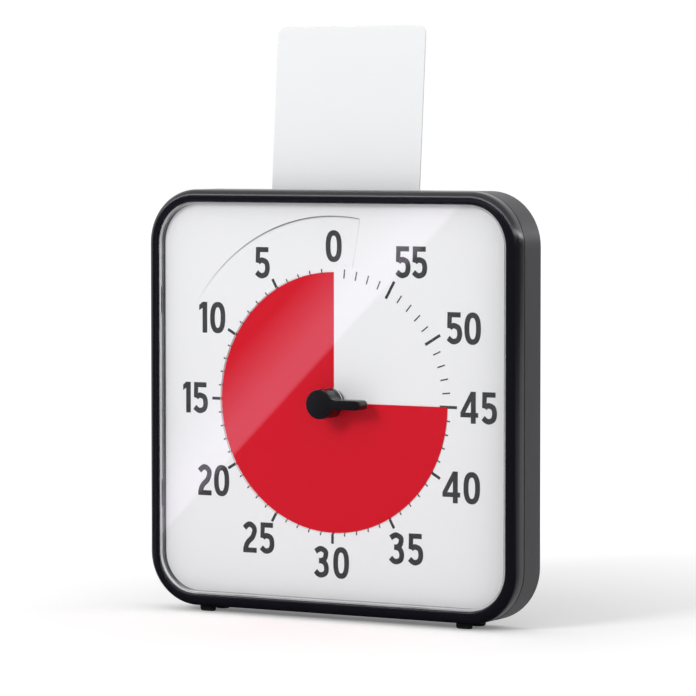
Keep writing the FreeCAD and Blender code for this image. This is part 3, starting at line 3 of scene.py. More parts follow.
import bpy
import numpy as np
from bpy.props import FloatProperty, FloatVectorProperty, IntProperty, PointerProperty
from mathutils import Matrix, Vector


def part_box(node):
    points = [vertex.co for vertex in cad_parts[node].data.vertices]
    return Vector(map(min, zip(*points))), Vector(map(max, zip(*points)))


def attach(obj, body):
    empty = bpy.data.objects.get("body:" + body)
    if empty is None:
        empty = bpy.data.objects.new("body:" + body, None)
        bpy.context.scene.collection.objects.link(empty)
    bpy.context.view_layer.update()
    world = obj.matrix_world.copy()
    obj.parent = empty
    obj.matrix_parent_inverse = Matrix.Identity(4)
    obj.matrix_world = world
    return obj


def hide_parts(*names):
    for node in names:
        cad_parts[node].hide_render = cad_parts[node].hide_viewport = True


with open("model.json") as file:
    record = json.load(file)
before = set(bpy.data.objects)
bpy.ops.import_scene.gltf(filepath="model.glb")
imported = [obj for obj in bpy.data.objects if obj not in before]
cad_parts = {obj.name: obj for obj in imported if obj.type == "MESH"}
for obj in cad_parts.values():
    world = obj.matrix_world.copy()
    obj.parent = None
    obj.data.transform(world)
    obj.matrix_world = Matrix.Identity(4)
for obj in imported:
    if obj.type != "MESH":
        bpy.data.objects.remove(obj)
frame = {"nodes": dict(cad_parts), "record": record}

bl_info = {
    "name": "Countdown timer dressing",
    "version": (1, 0),
    "blender": (4, 5, 0),
    "location": "3D View > Sidebar > Timer",
    "description": "Builds the shown pieces and finishes of a visual countdown timer around its frame",
    "category": "Object",
}

MM = 0.001
DIAL_LOW, DIAL_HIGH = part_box("dial_face")
# The dial centre on the white face: every piece is drawn about it, in millimetres, +Y backwards.
CENTRE = np.array([(DIAL_LOW.x + DIAL_HIGH.x) / 2, DIAL_LOW.y, (DIAL_LOW.z + DIAL_HIGH.z) / 2])
CARD_BOX = [np.array(corner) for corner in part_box("dry_erase_card")]


# Colours

def linear(red, green, blue):
    """Linear colour of a display colour given as 0 to 255."""
    values = np.array([red, green, blue]) / 255
    low = values / 12.92
    high = ((values + 0.055) / 1.055) ** 2.4
    return tuple(np.where(values <= 0.04045, low, high))


def colour_property(name, description, default):
    return FloatVectorProperty(name=name, description=description, default=linear(*default),
                               subtype="COLOR", size=3, min=0.0, max=1.0)


def length_property(name, description, default):
    return FloatProperty(name=name, description=description, default=default * MM, min=0.0,
                         unit="LENGTH", subtype="DISTANCE", precision=5)


# Settings

class BezelSettings(bpy.types.PropertyGroup):
    corner_middle: length_property("Corner middle", "Distance of each corner's middle from the dial centre", 113.5)
    outer_radius: length_property("Outer radius", "Radius of the outer corners", 39.0)
    window_radius: length_property("Window radius", "Radius of the window's corners", 30.0)
    crest: length_property("Crest", "How far the crest stands in front of the dial", 8.85)
    front_round: length_property("Front round", "Radius of the outer front edge", 6.8)
    lip_round: length_property("Lip round", "Radius of the edge at the window", 2.0)
    back_depth: length_property("Back depth", "Depth of the back edge behind the dial", 4.6)
    groove: length_property("Groove", "Radius of the outer back edge, at the groove before the cover", 0.9)
    colour: colour_property("Colour", "Colour of the bezel", (20, 20, 27))


class CoverSettings(bpy.types.PropertyGroup):
    colour: colour_property("Colour", "Colour of the rear cover", (46, 46, 50))
    roughness: FloatProperty(name="Roughness", description="Roughness of the rear cover", default=0.46,
                             min=0.0, max=1.0, subtype="FACTOR")


class DialSettings(bpy.types.PropertyGroup):
    figure_height: length_property("Figure height", "Height of the figures", 22.6)
    stroke: length_property("Stroke", "Width of a figure's strokes", 3.95)
    short_start: length_property("Short mark start", "Inner end of the minute marks", 90.0)
    short_end: length_property("Short mark end", "Outer end of the minute marks", 96.5)
    short_width: length_property("Short mark width", "Width of the minute marks", 1.0)
    long_start: length_property("Long mark start", "Inner end of the five-minute marks", 87.5)
    long_end: length_property("Long mark end", "Outer end of the five-minute marks", 101.6)
    long_width: length_property("Long mark width", "Width of the five-minute marks", 2.1)
    opening: length_property("Opening", "Radius of the recess that the disc turns in", 94.6)
    ramp_radius: length_property("Ramp radius", "Outer radius of the ramp", 134.0)
    ramp_depth: length_property("Ramp depth", "Depth of the ramp at 12 o'clock", 1.8)
    # Width of the shade painted in the corner of the ramp's step.
    line_width: length_property("Line width", "Width of the shade in the corner of the ramp's step", 0.55)
    face: colour_property("Face", "Colour of the dial", (242, 242, 244))
    ink: colour_property("Ink", "Colour of the figures and marks", (60, 60, 62))


class DiscSettings(bpy.types.PropertyGroup):
    colour: colour_property("Colour", "Colour of the disc", (214, 20, 40))
    roughness: FloatProperty(name="Roughness", description="Roughness of the disc", default=0.38,
                             min=0.0, max=1.0, subtype="FACTOR")


class KnobSettings(bpy.types.PropertyGroup):
    hub_radius: length_property("Hub radius", "Radius of the round part", 10.65)
    tip: length_property("Tip", "Reach of the lever from the middle", 33.6)
    lever_width: length_property("Lever width", "Width of the lever", 6.9)
    blend: length_property("Blend", "Radius of the hollow corners between hub and lever", 5.0)
    face_reach: length_property("Face reach", "How far the face stands in front of the dial", 20.6)
    lever_back: length_property("Lever back", "How far the lever's back stands in front of the dial", 8.6)
    hub_back: length_property("Hub back", "How far the hub's back stands in front of the dial", 1.5)
    edge: length_property("Edge", "Radius of the face's edge", 0.75)
    colour: colour_property("Colour", "Colour of the knob", (22, 22, 25))


class CardSettings(bpy.types.PropertyGroup):
    width: length_property("Width", "Width of the card", 122.6)
    shown: length_property("Shown height", "Height above the case", 118.3)
    hidden: length_property("Hidden height", "Height inside the sleeve", 30.0)
    thickness: length_property("Thickness", "Thickness of the card", 1.2)
    corner: length_property("Corner", "Radius of the corners", 6.5)
    edge: length_property("Edge", "Radius of the edges", 0.28)
    lean: FloatProperty(name="Lean", description="Angle that the card leans back", default=np.radians(4.58),
                        unit="ROTATION", subtype="ANGLE")
    colour: colour_property("Colour", "Colour of the card", (239, 240, 241))
    band: colour_property("Band", "Colour of the strip along the card's foot", (238, 239, 240))
    band_height: length_property("Band height", "Height of that strip above the case", 12.0)


class StageSettings(bpy.types.PropertyGroup):
    floor: colour_property("Floor", "Colour of the floor", (238, 238, 238))
    floor_glow: FloatProperty(name="Floor glow", description="Light added to the floor where it is seen",
                              default=0.44, min=0.0)
    sky: FloatProperty(name="Sky", description="Strength of the light from all round", default=0.66, min=0.0)
    key: FloatProperty(name="Key", description="Power of the lamp at the upper left", default=26.0, min=0.0,
                       unit="POWER")
    fill: FloatProperty(name="Fill", description="Power of the lamp at the right", default=2.0, min=0.0,
                        unit="POWER")
    lens: FloatProperty(name="Lens", description="Focal length of the camera in millimetres", default=204.45,
                        min=1.0)
    segments: IntProperty(name="Segments", description="Segments in each rounded corner", default=28, min=4)


SETTINGS = {
    "timer_bezel": BezelSettings,
    "timer_cover": CoverSettings,
    "timer_dial": DialSettings,
    "timer_disc": DiscSettings,
    "timer_knob": KnobSettings,
    "timer_card": CardSettings,
    "timer_stage": StageSettings,
}


def settings(key):
    return getattr(bpy.context.scene, key)


# Node groups shared by the finishes

def group(name, inputs, outputs):
    """Empty shader group with named sockets, and its two end nodes."""
    tree = bpy.data.node_groups.new(name, "ShaderNodeTree")
    for label, kind, default in inputs:
        socket = tree.interface.new_socket(label, in_out="INPUT", socket_type=kind)
        if default is not None:
            socket.default_value = default
    for label, kind in outputs:
        tree.interface.new_socket(label, in_out="OUTPUT", socket_type=kind)
    return tree, tree.nodes.new("NodeGroupInput"), tree.nodes.new("NodeGroupOutput")


def link(tree, start, end):
    tree.links.new(start, end)


def math_node(tree, operation, a, b=None, clamp=False):
    """Math node whose inputs are sockets or numbers."""
    node = tree.nodes.new("ShaderNodeMath")
    node.operation = operation
    node.use_clamp = clamp
    for slot, source in zip(node.inputs, (a, b)):
        if source is None:
            continue
        if isinstance(source, (int, float)):
            slot.default_value = source
        else:
            link(tree, source, slot)
    return node.outputs[0]


def ramped(tree, value, low, high, first=0.0, last=1.0):
    """Value carried linearly from low..high to first..last, held at both ends."""
    node = tree.nodes.new("ShaderNodeMapRange")
    node.inputs["From Min"].default_value = low
    node.inputs["From Max"].default_value = high
    node.inputs["To Min"].default_value = first
    node.inputs["To Max"].default_value = last
    link(tree, value, node.inputs["Value"])
    return node.outputs["Result"]


def mixed_colour(tree, factor, first, last):
    """Colour between two others, the first of which may be a socket."""
    mix = tree.nodes.new("ShaderNodeMix")
    mix.data_type = "RGBA"
    link(tree, factor, mix.inputs["Factor"])
    if isinstance(first, tuple):
        mix.inputs["A"].default_value = (*first, 1.0)
    else:
        link(tree, first, mix.inputs["A"])
    mix.inputs["B"].default_value = (*last, 1.0)
    return mix.outputs["Result"]


def object_place(tree):
    """Node that splits the object's own coordinates into X, Y and Z."""
    place = tree.nodes.new("ShaderNodeSeparateXYZ")
    link(tree, tree.nodes.new("ShaderNodeTexCoord").outputs["Object"], place.inputs["Vector"])
    return place


def looked_at(tree):
    """Light Path node, and one for the rays of the camera, of reflections and of what is seen through glass."""
    paths = tree.nodes.new("ShaderNodeLightPath")
    through = math_node(tree, "MAXIMUM", paths.outputs["Is Glossy Ray"], paths.outputs["Is Transmission Ray"])
    return paths, math_node(tree, "MAXIMUM", paths.outputs["Is Camera Ray"], through)


def noise(tree, vector, scale, detail=4.0, roughness=0.55):
    node = tree.nodes.new("ShaderNodeTexNoise")
    node.inputs["Detail"].default_value = detail
    node.inputs["Roughness"].default_value = roughness
    link(tree, vector, node.inputs["Vector"])
    if isinstance(scale, (int, float)):
        node.inputs["Scale"].default_value = scale
    else:
        link(tree, scale, node.inputs["Scale"])
    return node.outputs["Fac"]


def make_grain_group():
    """Moulded grain: fine noise with a coarser one under it, as a height in metres."""
    tree, start, end = group("moulded_grain",
                             [("Place", "NodeSocketVector", None), ("Scale", "NodeSocketFloat", 1800.0),
                              ("Depth", "NodeSocketFloat", 0.00002)],
                             [("Height", "NodeSocketFloat"), ("Mask", "NodeSocketFloat")])
    fine = noise(tree, start.outputs["Place"], start.outputs["Scale"], 3.0)
    slow = math_node(tree, "MULTIPLY", start.outputs["Scale"], 0.12)
    coarse = noise(tree, start.outputs["Place"], slow, 2.0)
    both = math_node(tree, "ADD", math_node(tree, "MULTIPLY", fine, 0.7), math_node(tree, "MULTIPLY", coarse, 0.3))
    link(tree, math_node(tree, "MULTIPLY", both, start.outputs["Depth"]), end.inputs["Height"])
    link(tree, both, end.inputs["Mask"])
    return tree


def make_mottle_group():
    """Slow variation of a colour, a few percent lighter and darker."""
    tree, start, end = group("colour_mottle",
                             [("Place", "NodeSocketVector", None), ("Colour", "NodeSocketColor", (0.5, 0.5, 0.5, 1)),
                              ("Scale", "NodeSocketFloat", 30.0), ("Amount", "NodeSocketFloat", 0.05)],
                             [("Colour", "NodeSocketColor")])
    patches = noise(tree, start.outputs["Place"], start.outputs["Scale"], 5.0)
    swing = math_node(tree, "MULTIPLY", math_node(tree, "SUBTRACT", patches, 0.5), start.outputs["Amount"])
    bright = tree.nodes.new("ShaderNodeHueSaturation")
    link(tree, math_node(tree, "ADD", swing, 1.0), bright.inputs["Value"])
    link(tree, start.outputs["Colour"], bright.inputs["Color"])
    link(tree, bright.outputs["Color"], end.inputs["Colour"])
    return tree


def make_handling_group():
    """Roughness with faint smudges and fine rubbed streaks from handling."""
    tree, start, end = group("handling",
                             [("Place", "NodeSocketVector", None), ("Roughness", "NodeSocketFloat", 0.4),
                              ("Smudge", "NodeSocketFloat", 0.1)],
                             [("Roughness", "NodeSocketFloat")])
    smudge = noise(tree, start.outputs["Place"], 42.0, 6.0, 0.6)
    stretch = tree.nodes.new("ShaderNodeMapping")
    stretch.inputs["Scale"].default_value = (900.0, 900.0, 60.0)
    link(tree, start.outputs["Place"], stretch.inputs["Vector"])
    streak = noise(tree, stretch.outputs["Vector"], 1.0, 2.0)
    mixed = math_node(tree, "ADD", math_node(tree, "MULTIPLY", smudge, 0.7), math_node(tree, "MULTIPLY", streak, 0.3))
    swing = math_node(tree, "MULTIPLY", math_node(tree, "SUBTRACT", mixed, 0.5), start.outputs["Smudge"])
    link(tree, math_node(tree, "ADD", swing, start.outputs["Roughness"], clamp=True), end.inputs["Roughness"])
    return tree


GROUPS = {}


def shared(name):
    """Shader group by name, built the first time it is used."""
    makers = {"moulded_grain": make_grain_group, "colour_mottle": make_mottle_group, "handling": make_handling_group}
    if name not in GROUPS:
        GROUPS[name] = makers[name]()
    return GROUPS[name]


def place_group(tree, name, **values):
    node = tree.nodes.new("ShaderNodeGroup")
    node.node_tree = shared(name)
    for label, number in values.items():
        node.inputs[label].default_value = number
    return node


# Finishes

def new_material(name):
    material = bpy.data.materials.new(name)
    material.use_nodes = True
    tree = material.node_tree
    return material, tree, tree.nodes["Principled BSDF"]


def finish(name, colour, roughness, mottle=0.05, mottle_scale=30.0, grain=0.00001, grain_scale=1800.0,
           smudge=0.12, metallic=0.0, coat=0.0, specular=0.5):
    """Moulded, painted or plated finish: mottled colour, handled roughness and a fine grain in relief."""
    material, tree, shader = new_material(name)
    place = tree.nodes.new("ShaderNodeTexCoord").outputs["Object"]
    colours = place_group(tree, "colour_mottle", Colour=(*colour, 1.0), Scale=mottle_scale, Amount=mottle)
    rubbed = place_group(tree, "handling", Roughness=roughness, Smudge=smudge)
    relief = place_group(tree, "moulded_grain", Scale=grain_scale, Depth=grain)
    for node in (colours, rubbed, relief):
        link(tree, place, node.inputs["Place"])
    bump = tree.nodes.new("ShaderNodeBump")
    bump.inputs["Distance"].default_value = 1.0
    link(tree, relief.outputs["Height"], bump.inputs["Height"])
    link(tree, bump.outputs["Normal"], shader.inputs["Normal"])
    link(tree, colours.outputs["Colour"], shader.inputs["Base Color"])
    link(tree, rubbed.outputs["Roughness"], shader.inputs["Roughness"])
    shader.inputs["Metallic"].default_value = metallic
    shader.inputs["Coat Weight"].default_value = coat
    shader.inputs["Coat Roughness"].default_value = 0.12
    shader.inputs["Specular IOR Level"].default_value = specular
    return material


def lens_finish():
    """Clear sheet: refracting where it is seen, open to the light that falls through it."""
    material, tree, shader = new_material("clear_lens")
    shader.inputs["Base Color"].default_value = (0.99, 0.995, 1.0, 1.0)
    shader.inputs["Transmission Weight"].default_value = 1.0
    shader.inputs["IOR"].default_value = 1.49
    place = tree.nodes.new("ShaderNodeTexCoord").outputs["Object"]
    rubbed = place_group(tree, "handling", Roughness=0.0, Smudge=0.02)
    link(tree, place, rubbed.inputs["Place"])
    link(tree, rubbed.outputs["Roughness"], shader.inputs["Roughness"])
    open_sheet = tree.nodes.new("ShaderNodeBsdfTransparent")
    paths = tree.nodes.new("ShaderNodeLightPath")
    passing = math_node(tree, "MAXIMUM", paths.outputs["Is Shadow Ray"], paths.outputs["Is Diffuse Ray"])
    mix = tree.nodes.new("ShaderNodeMixShader")
    link(tree, passing, mix.inputs["Fac"])
    link(tree, shader.outputs["BSDF"], mix.inputs[1])
    link(tree, open_sheet.outputs["BSDF"], mix.inputs[2])
    link(tree, mix.outputs["Shader"], tree.nodes["Material Output"].inputs["Surface"])
    return material


# The ramp falls over RAMP_TURN degrees from 12 o'clock and ends LOBE_TURN degrees past it, from LOBE_START
# millimetres outwards.
RAMP_TURN = 60.0
LOBE_TURN = 9.6
LOBE_START = 99.3
# The shade painted in the corner of the ramp's step is full up to this turn.
STEP_SHADE_FULL_TURN = 18.0
# Strength of the shade painted along the step's corner and at the lobe's end wall.
RIM_SHADE, SIDE_SHADE = 0.62, 0.2
# Way along the axis, strength and fall in metres of the shade painted at the window's right, top and bottom edges.
EDGE_SHADES = ((1.0, 0.24, 0.014), (1.0, 0.08, 0.008), (-1.0, 0.1, 0.009))


def dial_finish():
    """Satin white dial, with painted shade: a dark line in the corner of the ramp's step and at its end wall, and the
    soft shade that the frame keeps along the window: shade = a exp(-d / b) for the distance d to an edge."""
    dial = settings("timer_dial")
    material = finish("dial_white", dial.face, 0.5, mottle=0.008, grain=0.000004, smudge=0.05, specular=0.2)
    tree = material.node_tree
    shader = tree.nodes["Principled BSDF"]
    plain = shader.inputs["Base Color"].links[0].from_socket
    place = object_place(tree)
    x = math_node(tree, "SUBTRACT", place.outputs["X"], float(CENTRE[0]))
    z = math_node(tree, "SUBTRACT", place.outputs["Z"], float(CENTRE[2]))
    radius = math_node(tree, "SQRT", math_node(tree, "ADD", math_node(tree, "MULTIPLY", x, x),
                                               math_node(tree, "MULTIPLY", z, z)))
    turn = math_node(tree, "ARCTAN2", math_node(tree, "MULTIPLY", x, -1.0), z)
    # Painted shade along the corner of the ramp's step, and at the lobe's end wall.
    away = math_node(tree, "ABSOLUTE", math_node(tree, "SUBTRACT", radius, dial.ramp_radius))
    starts = ramped(tree, turn, np.radians(-LOBE_TURN - 0.1), np.radians(-LOBE_TURN + 0.4))
    fades = ramped(tree, turn, np.radians(STEP_SHADE_FULL_TURN), np.radians(RAMP_TURN), 1.0, 0.0)
    rim = math_node(tree, "MULTIPLY", ramped(tree, away, dial.line_width / 2, dial.line_width, 1.0, 0.0),
                    math_node(tree, "MULTIPLY", starts, fades))
    aside = math_node(tree, "ABSOLUTE", math_node(tree, "SUBTRACT", turn, float(np.radians(-LOBE_TURN))))
    within = math_node(tree, "MULTIPLY", ramped(tree, radius, 0.098, 0.1),
                       ramped(tree, radius, dial.ramp_radius - 0.0005, dial.ramp_radius, 1.0, 0.0))
    side = math_node(tree, "MULTIPLY", ramped(tree, aside, 0.0015, 0.006, 1.0, 0.0), within)
    shade = math_node(tree, "ADD", math_node(tree, "MULTIPLY", rim, RIM_SHADE),
                      math_node(tree, "MULTIPLY", side, SIDE_SHADE))
    # Painted shade along the window's right, top and bottom edges, where the frame keeps light off.
    half = settings("timer_bezel").corner_middle + settings("timer_bezel").window_radius
    for value, (way, amount, fall) in zip((x, z, z), EDGE_SHADES):
        gap = math_node(tree, "SUBTRACT", half, math_node(tree, "MULTIPLY", value, way))
        fading = math_node(tree, "EXPONENT", math_node(tree, "DIVIDE", gap, -fall))
        shade = math_node(tree, "ADD", shade, math_node(tree, "MULTIPLY", fading, amount), clamp=True)
    # The painted shades darken the face towards near black.
    link(tree, mixed_colour(tree, shade, plain, (0.0, 0.0, 0.002)), shader.inputs["Base Color"])
    return material


def card_finish():
    """Glossy white card with a slightly greyer strip along its foot."""
    card = settings("timer_card")
    material = finish("card_white", card.colour, 0.2, mottle=0.01, grain=0.000001, smudge=0.08, coat=0.3)
    tree = material.node_tree
    shader = tree.nodes["Principled BSDF"]
    plain = shader.inputs["Base Color"].links[0].from_socket
    top = CARD_BOX[1][2] - (card.shown - card.band_height)
    mask = ramped(tree, object_place(tree).outputs["Z"], top + 0.0002, top - 0.0002)
    link(tree, mixed_colour(tree, mask, plain, tuple(card.band)), shader.inputs["Base Color"])
    return material


FINISHES = {
    "rubber_black": dict(colour=linear(20, 20, 21), roughness=0.78, mottle=0.15, grain=0.00003, grain_scale=2600.0),
    "steel": dict(colour=linear(190, 190, 194), roughness=0.3, metallic=1.0, mottle=0.1, grain=0.000006),
    "brass": dict(colour=linear(201, 164, 92), roughness=0.28, metallic=1.0, mottle=0.12, grain=0.000006),
    "gear_white": dict(colour=linear(226, 224, 214), roughness=0.42, mottle=0.04),
    "gear_amber": dict(colour=linear(206, 160, 92), roughness=0.42, mottle=0.06),
    "movement_plastic": dict(colour=linear(38, 38, 41), roughness=0.55, grain=0.00002),
    "magnet_grey": dict(colour=linear(62, 61, 60), roughness=0.6, metallic=0.4, mottle=0.2, grain=0.00003),
    "copper": dict(colour=linear(186, 98, 56), roughness=0.32, metallic=1.0, mottle=0.15, grain=0.00004,
                   grain_scale=3800.0),
    "board_green": dict(colour=linear(22, 92, 58), roughness=0.35, mottle=0.12, coat=0.3),
    "chip_black": dict(colour=linear(24, 24, 25), roughness=0.6, grain=0.00002, grain_scale=3000.0),
    "battery_body": dict(colour=linear(42, 44, 48), roughness=0.25, coat=0.4, mottle=0.03),
}
MATERIALS = {}


def material_for(slot_name):
    """Material of one of the record's slots."""
    if slot_name in MATERIALS:
        return MATERIALS[slot_name]
    if slot_name == "bezel_black":
        made = finish(slot_name, settings("timer_bezel").colour, 0.24, mottle=0.06, grain=0.000003,
                      grain_scale=2400.0, smudge=0.08, specular=0.42)
    elif slot_name == "cover_grey":
        made = finish(slot_name, settings("timer_cover").colour, settings("timer_cover").roughness, mottle=0.06,
                      grain=0.00003, grain_scale=2200.0)
    elif slot_name == "clear_lens":
        made = lens_finish()
    elif slot_name == "dial_white":
        made = dial_finish()
    elif slot_name == "film_red":
        made = finish(slot_name, settings("timer_disc").colour, settings("timer_disc").roughness, mottle=0.03,
                      mottle_scale=14.0, grain=0.000003, specular=0.12)
    elif slot_name == "knob_black":
        made = finish(slot_name, settings("timer_knob").colour, 0.3, mottle=0.08, grain=0.00001,
                      grain_scale=2600.0, specular=0.4)
    elif slot_name == "card_white":
        made = card_finish()
    elif slot_name == "ink":
        made = finish(slot_name, settings("timer_dial").ink, 0.55, mottle=0.05, grain=0.000002, specular=0.3)
    else:
        made = finish(slot_name, **FINISHES[slot_name])
    MATERIALS[slot_name] = made
    return made


# Meshes

def grid_faces(rows, columns, close_rows=False, close_columns=False):
    """Quads between neighbouring rows and columns of points, as one array of corner numbers."""
    row = np.arange(rows if close_rows else rows - 1)
    column = np.arange(columns if close_columns else columns - 1)
    r, c = np.meshgrid(row, column, indexing="ij")
    r_next, c_next = (r + 1) % rows, (c + 1) % columns
    quads = np.stack([r * columns + c, r * columns + c_next, r_next * columns + c_next, r_next * columns + c], -1)
    return quads.reshape(-1, 4)


def build(name, points, faces, body, slot_name, smooth=True, material=None):
    """Object from points in the dial's millimetres and lists of faces, riding on one body."""
    mesh = bpy.data.meshes.new(name)
    mesh.from_pydata((np.asarray(points) * MM + CENTRE).tolist(), [], [list(face) for face in faces])
    mesh.validate()
    piece = bpy.data.objects.new(name, mesh)
    bpy.context.scene.collection.objects.link(piece)
    mesh.materials.append(material or material_for(slot_name))
    mesh.shade_smooth() if smooth else mesh.shade_flat()
    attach(piece, body)
    return piece


def harden(piece, degrees=32.0):
    """Keep edges sharper than an angle crisp."""
    piece.data.set_sharp_from_angle(angle=np.radians(degrees))


def arc(middle, radius, start, stop, steps):
    """Points (steps + 1, 2) on a circular arc between two angles in degrees."""
    turn = np.radians(np.linspace(start, stop, steps + 1))
    return np.array(middle) + radius * np.stack([np.cos(turn), np.sin(turn)], 1)


def corner_path(half, steps):
    """Middles and outward directions round a square with round corners, counter-clockwise from the right."""
    turn = np.radians(np.concatenate([np.linspace(k * 90, k * 90 + 90, steps + 1) for k in range(4)]))
    signs = np.repeat(np.array([[1, 1], [-1, 1], [-1, -1], [1, -1]]), steps + 1, axis=0)
    return signs * half, np.stack([np.cos(turn), np.sin(turn)], 1)


def sweep_corners(profile, half, steps):
    """Surface of a profile carried round a square: point (i, j) = corner middle j + radius i along direction j,
    at depth i."""
    middles, ways = corner_path(half, steps)
    profile = np.asarray(profile)
    flat = middles[None] + profile[:, 0, None, None] * ways[None]
    depth = np.broadcast_to(profile[:, 1, None], flat.shape[:2])
    return np.stack([flat[..., 0], depth, flat[..., 1]], -1)


# Pieces

class BezelPiece(bpy.types.Operator):
    """Front bezel: a half-round profile carried round the square"""
    bl_idname = "timer.bezel"
    bl_label = "Front bezel"

    def execute(self, context):
        s = settings("timer_bezel")
        outer, window = s.outer_radius / MM, s.window_radius / MM
        crest, back = -s.crest / MM, s.back_depth / MM
        front, lip = s.front_round / MM, s.lip_round / MM
        nick, groove = 0.3, s.groove / MM
        profile = np.concatenate([
            arc((outer - groove, back - groove), groove, 90, 0, 5),
            arc((outer - front, crest + front), front, 0, -90, 22),
            arc((window + lip, crest + lip), lip, -90, -180, 10),
            arc((window + nick, back - nick), nick, 180, 90, 3),
        ])
        steps = settings("timer_stage").segments
        points = sweep_corners(profile, s.corner_middle / MM, steps)
        faces = grid_faces(len(profile), points.shape[1], close_rows=True, close_columns=True)
        piece = build("bezel_ring", points.reshape(-1, 3), faces, "case", "bezel_black")
        harden(piece, 50.0)
        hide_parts("front_bezel")
        return {"FINISHED"}


class DialPiece(bpy.types.Operator):
    """Figures and marks printed on the dial, following its ramp and its inner floor"""
    bl_idname = "timer.dial"
    bl_label = "Dial printing"

    def execute(self, context):
        ink = Print()
        for number, (spots, height) in FIGURES.items():
            for figure, (left, right) in zip(number, spots):
                ink.figure(figure, (left + right) / 2, height, right - left)
        ink.marks()
        piece = build("dial_printing", ink.all_points(), ink.faces, "case", "dial_white",
                      smooth=False, material=material_for("ink"))
        return {"FINISHED"}


# Each number's figures: the left and right edges of each and the height of its middle, in millimetres.
FIGURES = {
    "0": ([(-6.6, 6.6)], 112.5),
    "5": ([(-65.6, -53.0)], 99.7),
    "10": ([(-112.8, -105.9), (-103.3, -90.4)], 59.0),
    "15": ([(-126.8, -120.2), (-118.2, -105.4)], 0.0),
    "20": ([(-114.0, -102.2), (-100.2, -87.2)], -60.2),
    "25": ([(-75.4, -63.6), (-61.4, -48.8)], -100.4),
    "30": ([(-15.9, -3.1), (0.6, 13.7)], -115.2),
    "35": ([(46.2, 59.0), (61.9, 74.5)], -102.2),
    "40": ([(90.0, 104.2), (106.9, 120.1)], -56.5),
    "45": ([(104.3, 118.5), (120.9, 133.5)], 0.4),
    "50": ([(92.9, 105.6), (107.4, 120.6)], 56.1),
    "55": ([(51.4, 64.0), (64.9, 77.5)], 102.0),
}


def dial_depth(points):
    """Depth of the dial's front at points (n, 2): nought on the face, the ramp's fall towards 12 o'clock outside
    the opening, the inner floor's fall inside it."""
    s = settings("timer_dial")
    x, z = points[:, 0], points[:, 1]
    radius = np.hypot(x, z)
    turn = np.degrees(np.arctan2(-x, z)) % 360
    full = s.ramp_depth / MM
    depth = np.zeros(len(points))
    ramp = (radius < s.ramp_radius / MM) & (turn < RAMP_TURN)
    depth[ramp] = full * (1 - turn[ramp] / RAMP_TURN)
    lobe = (radius > LOBE_START) & (radius < s.ramp_radius / MM) & (turn > 360 - LOBE_TURN)
    depth[lobe] = full
    inside = radius < s.opening / MM
    depth[inside] = full * (1 - turn[inside] / 360)
    return depth


def smooth_line(knots, steps=12):
    """Smooth curve through knots: each span is the cubic whose slopes are half the neighbours' difference."""
    knots = np.asarray(knots, float)
    padded = np.concatenate([[2 * knots[0] - knots[1]], knots, [2 * knots[-1] - knots[-2]]])
    a, b, c, e = padded[:-3, None], padded[1:-2, None], padded[2:-1, None], padded[3:, None]
    t = (np.arange(steps) / steps)[None, :, None]
    curve = 0.5 * (2 * b + (c - a) * t + (2 * a - 5 * b + 4 * c - e) * t ** 2 + (3 * b - a - 3 * c + e) * t ** 3)
    return np.concatenate([curve.reshape(-1, 2), knots[-1:]])


def oval(half_wide, half_high, power, steps=72):
    """Closed superellipse: |x / a| ** p + |z / b| ** p = 1."""
    turn = np.linspace(0, 2 * np.pi, steps, endpoint=False)
    c, s = np.cos(turn), np.sin(turn)
    x = half_wide * np.sign(c) * np.abs(c) ** (2 / power)
    z = half_high * np.sign(s) * np.abs(s) ** (2 / power)
    return np.stack([x, z], 1)


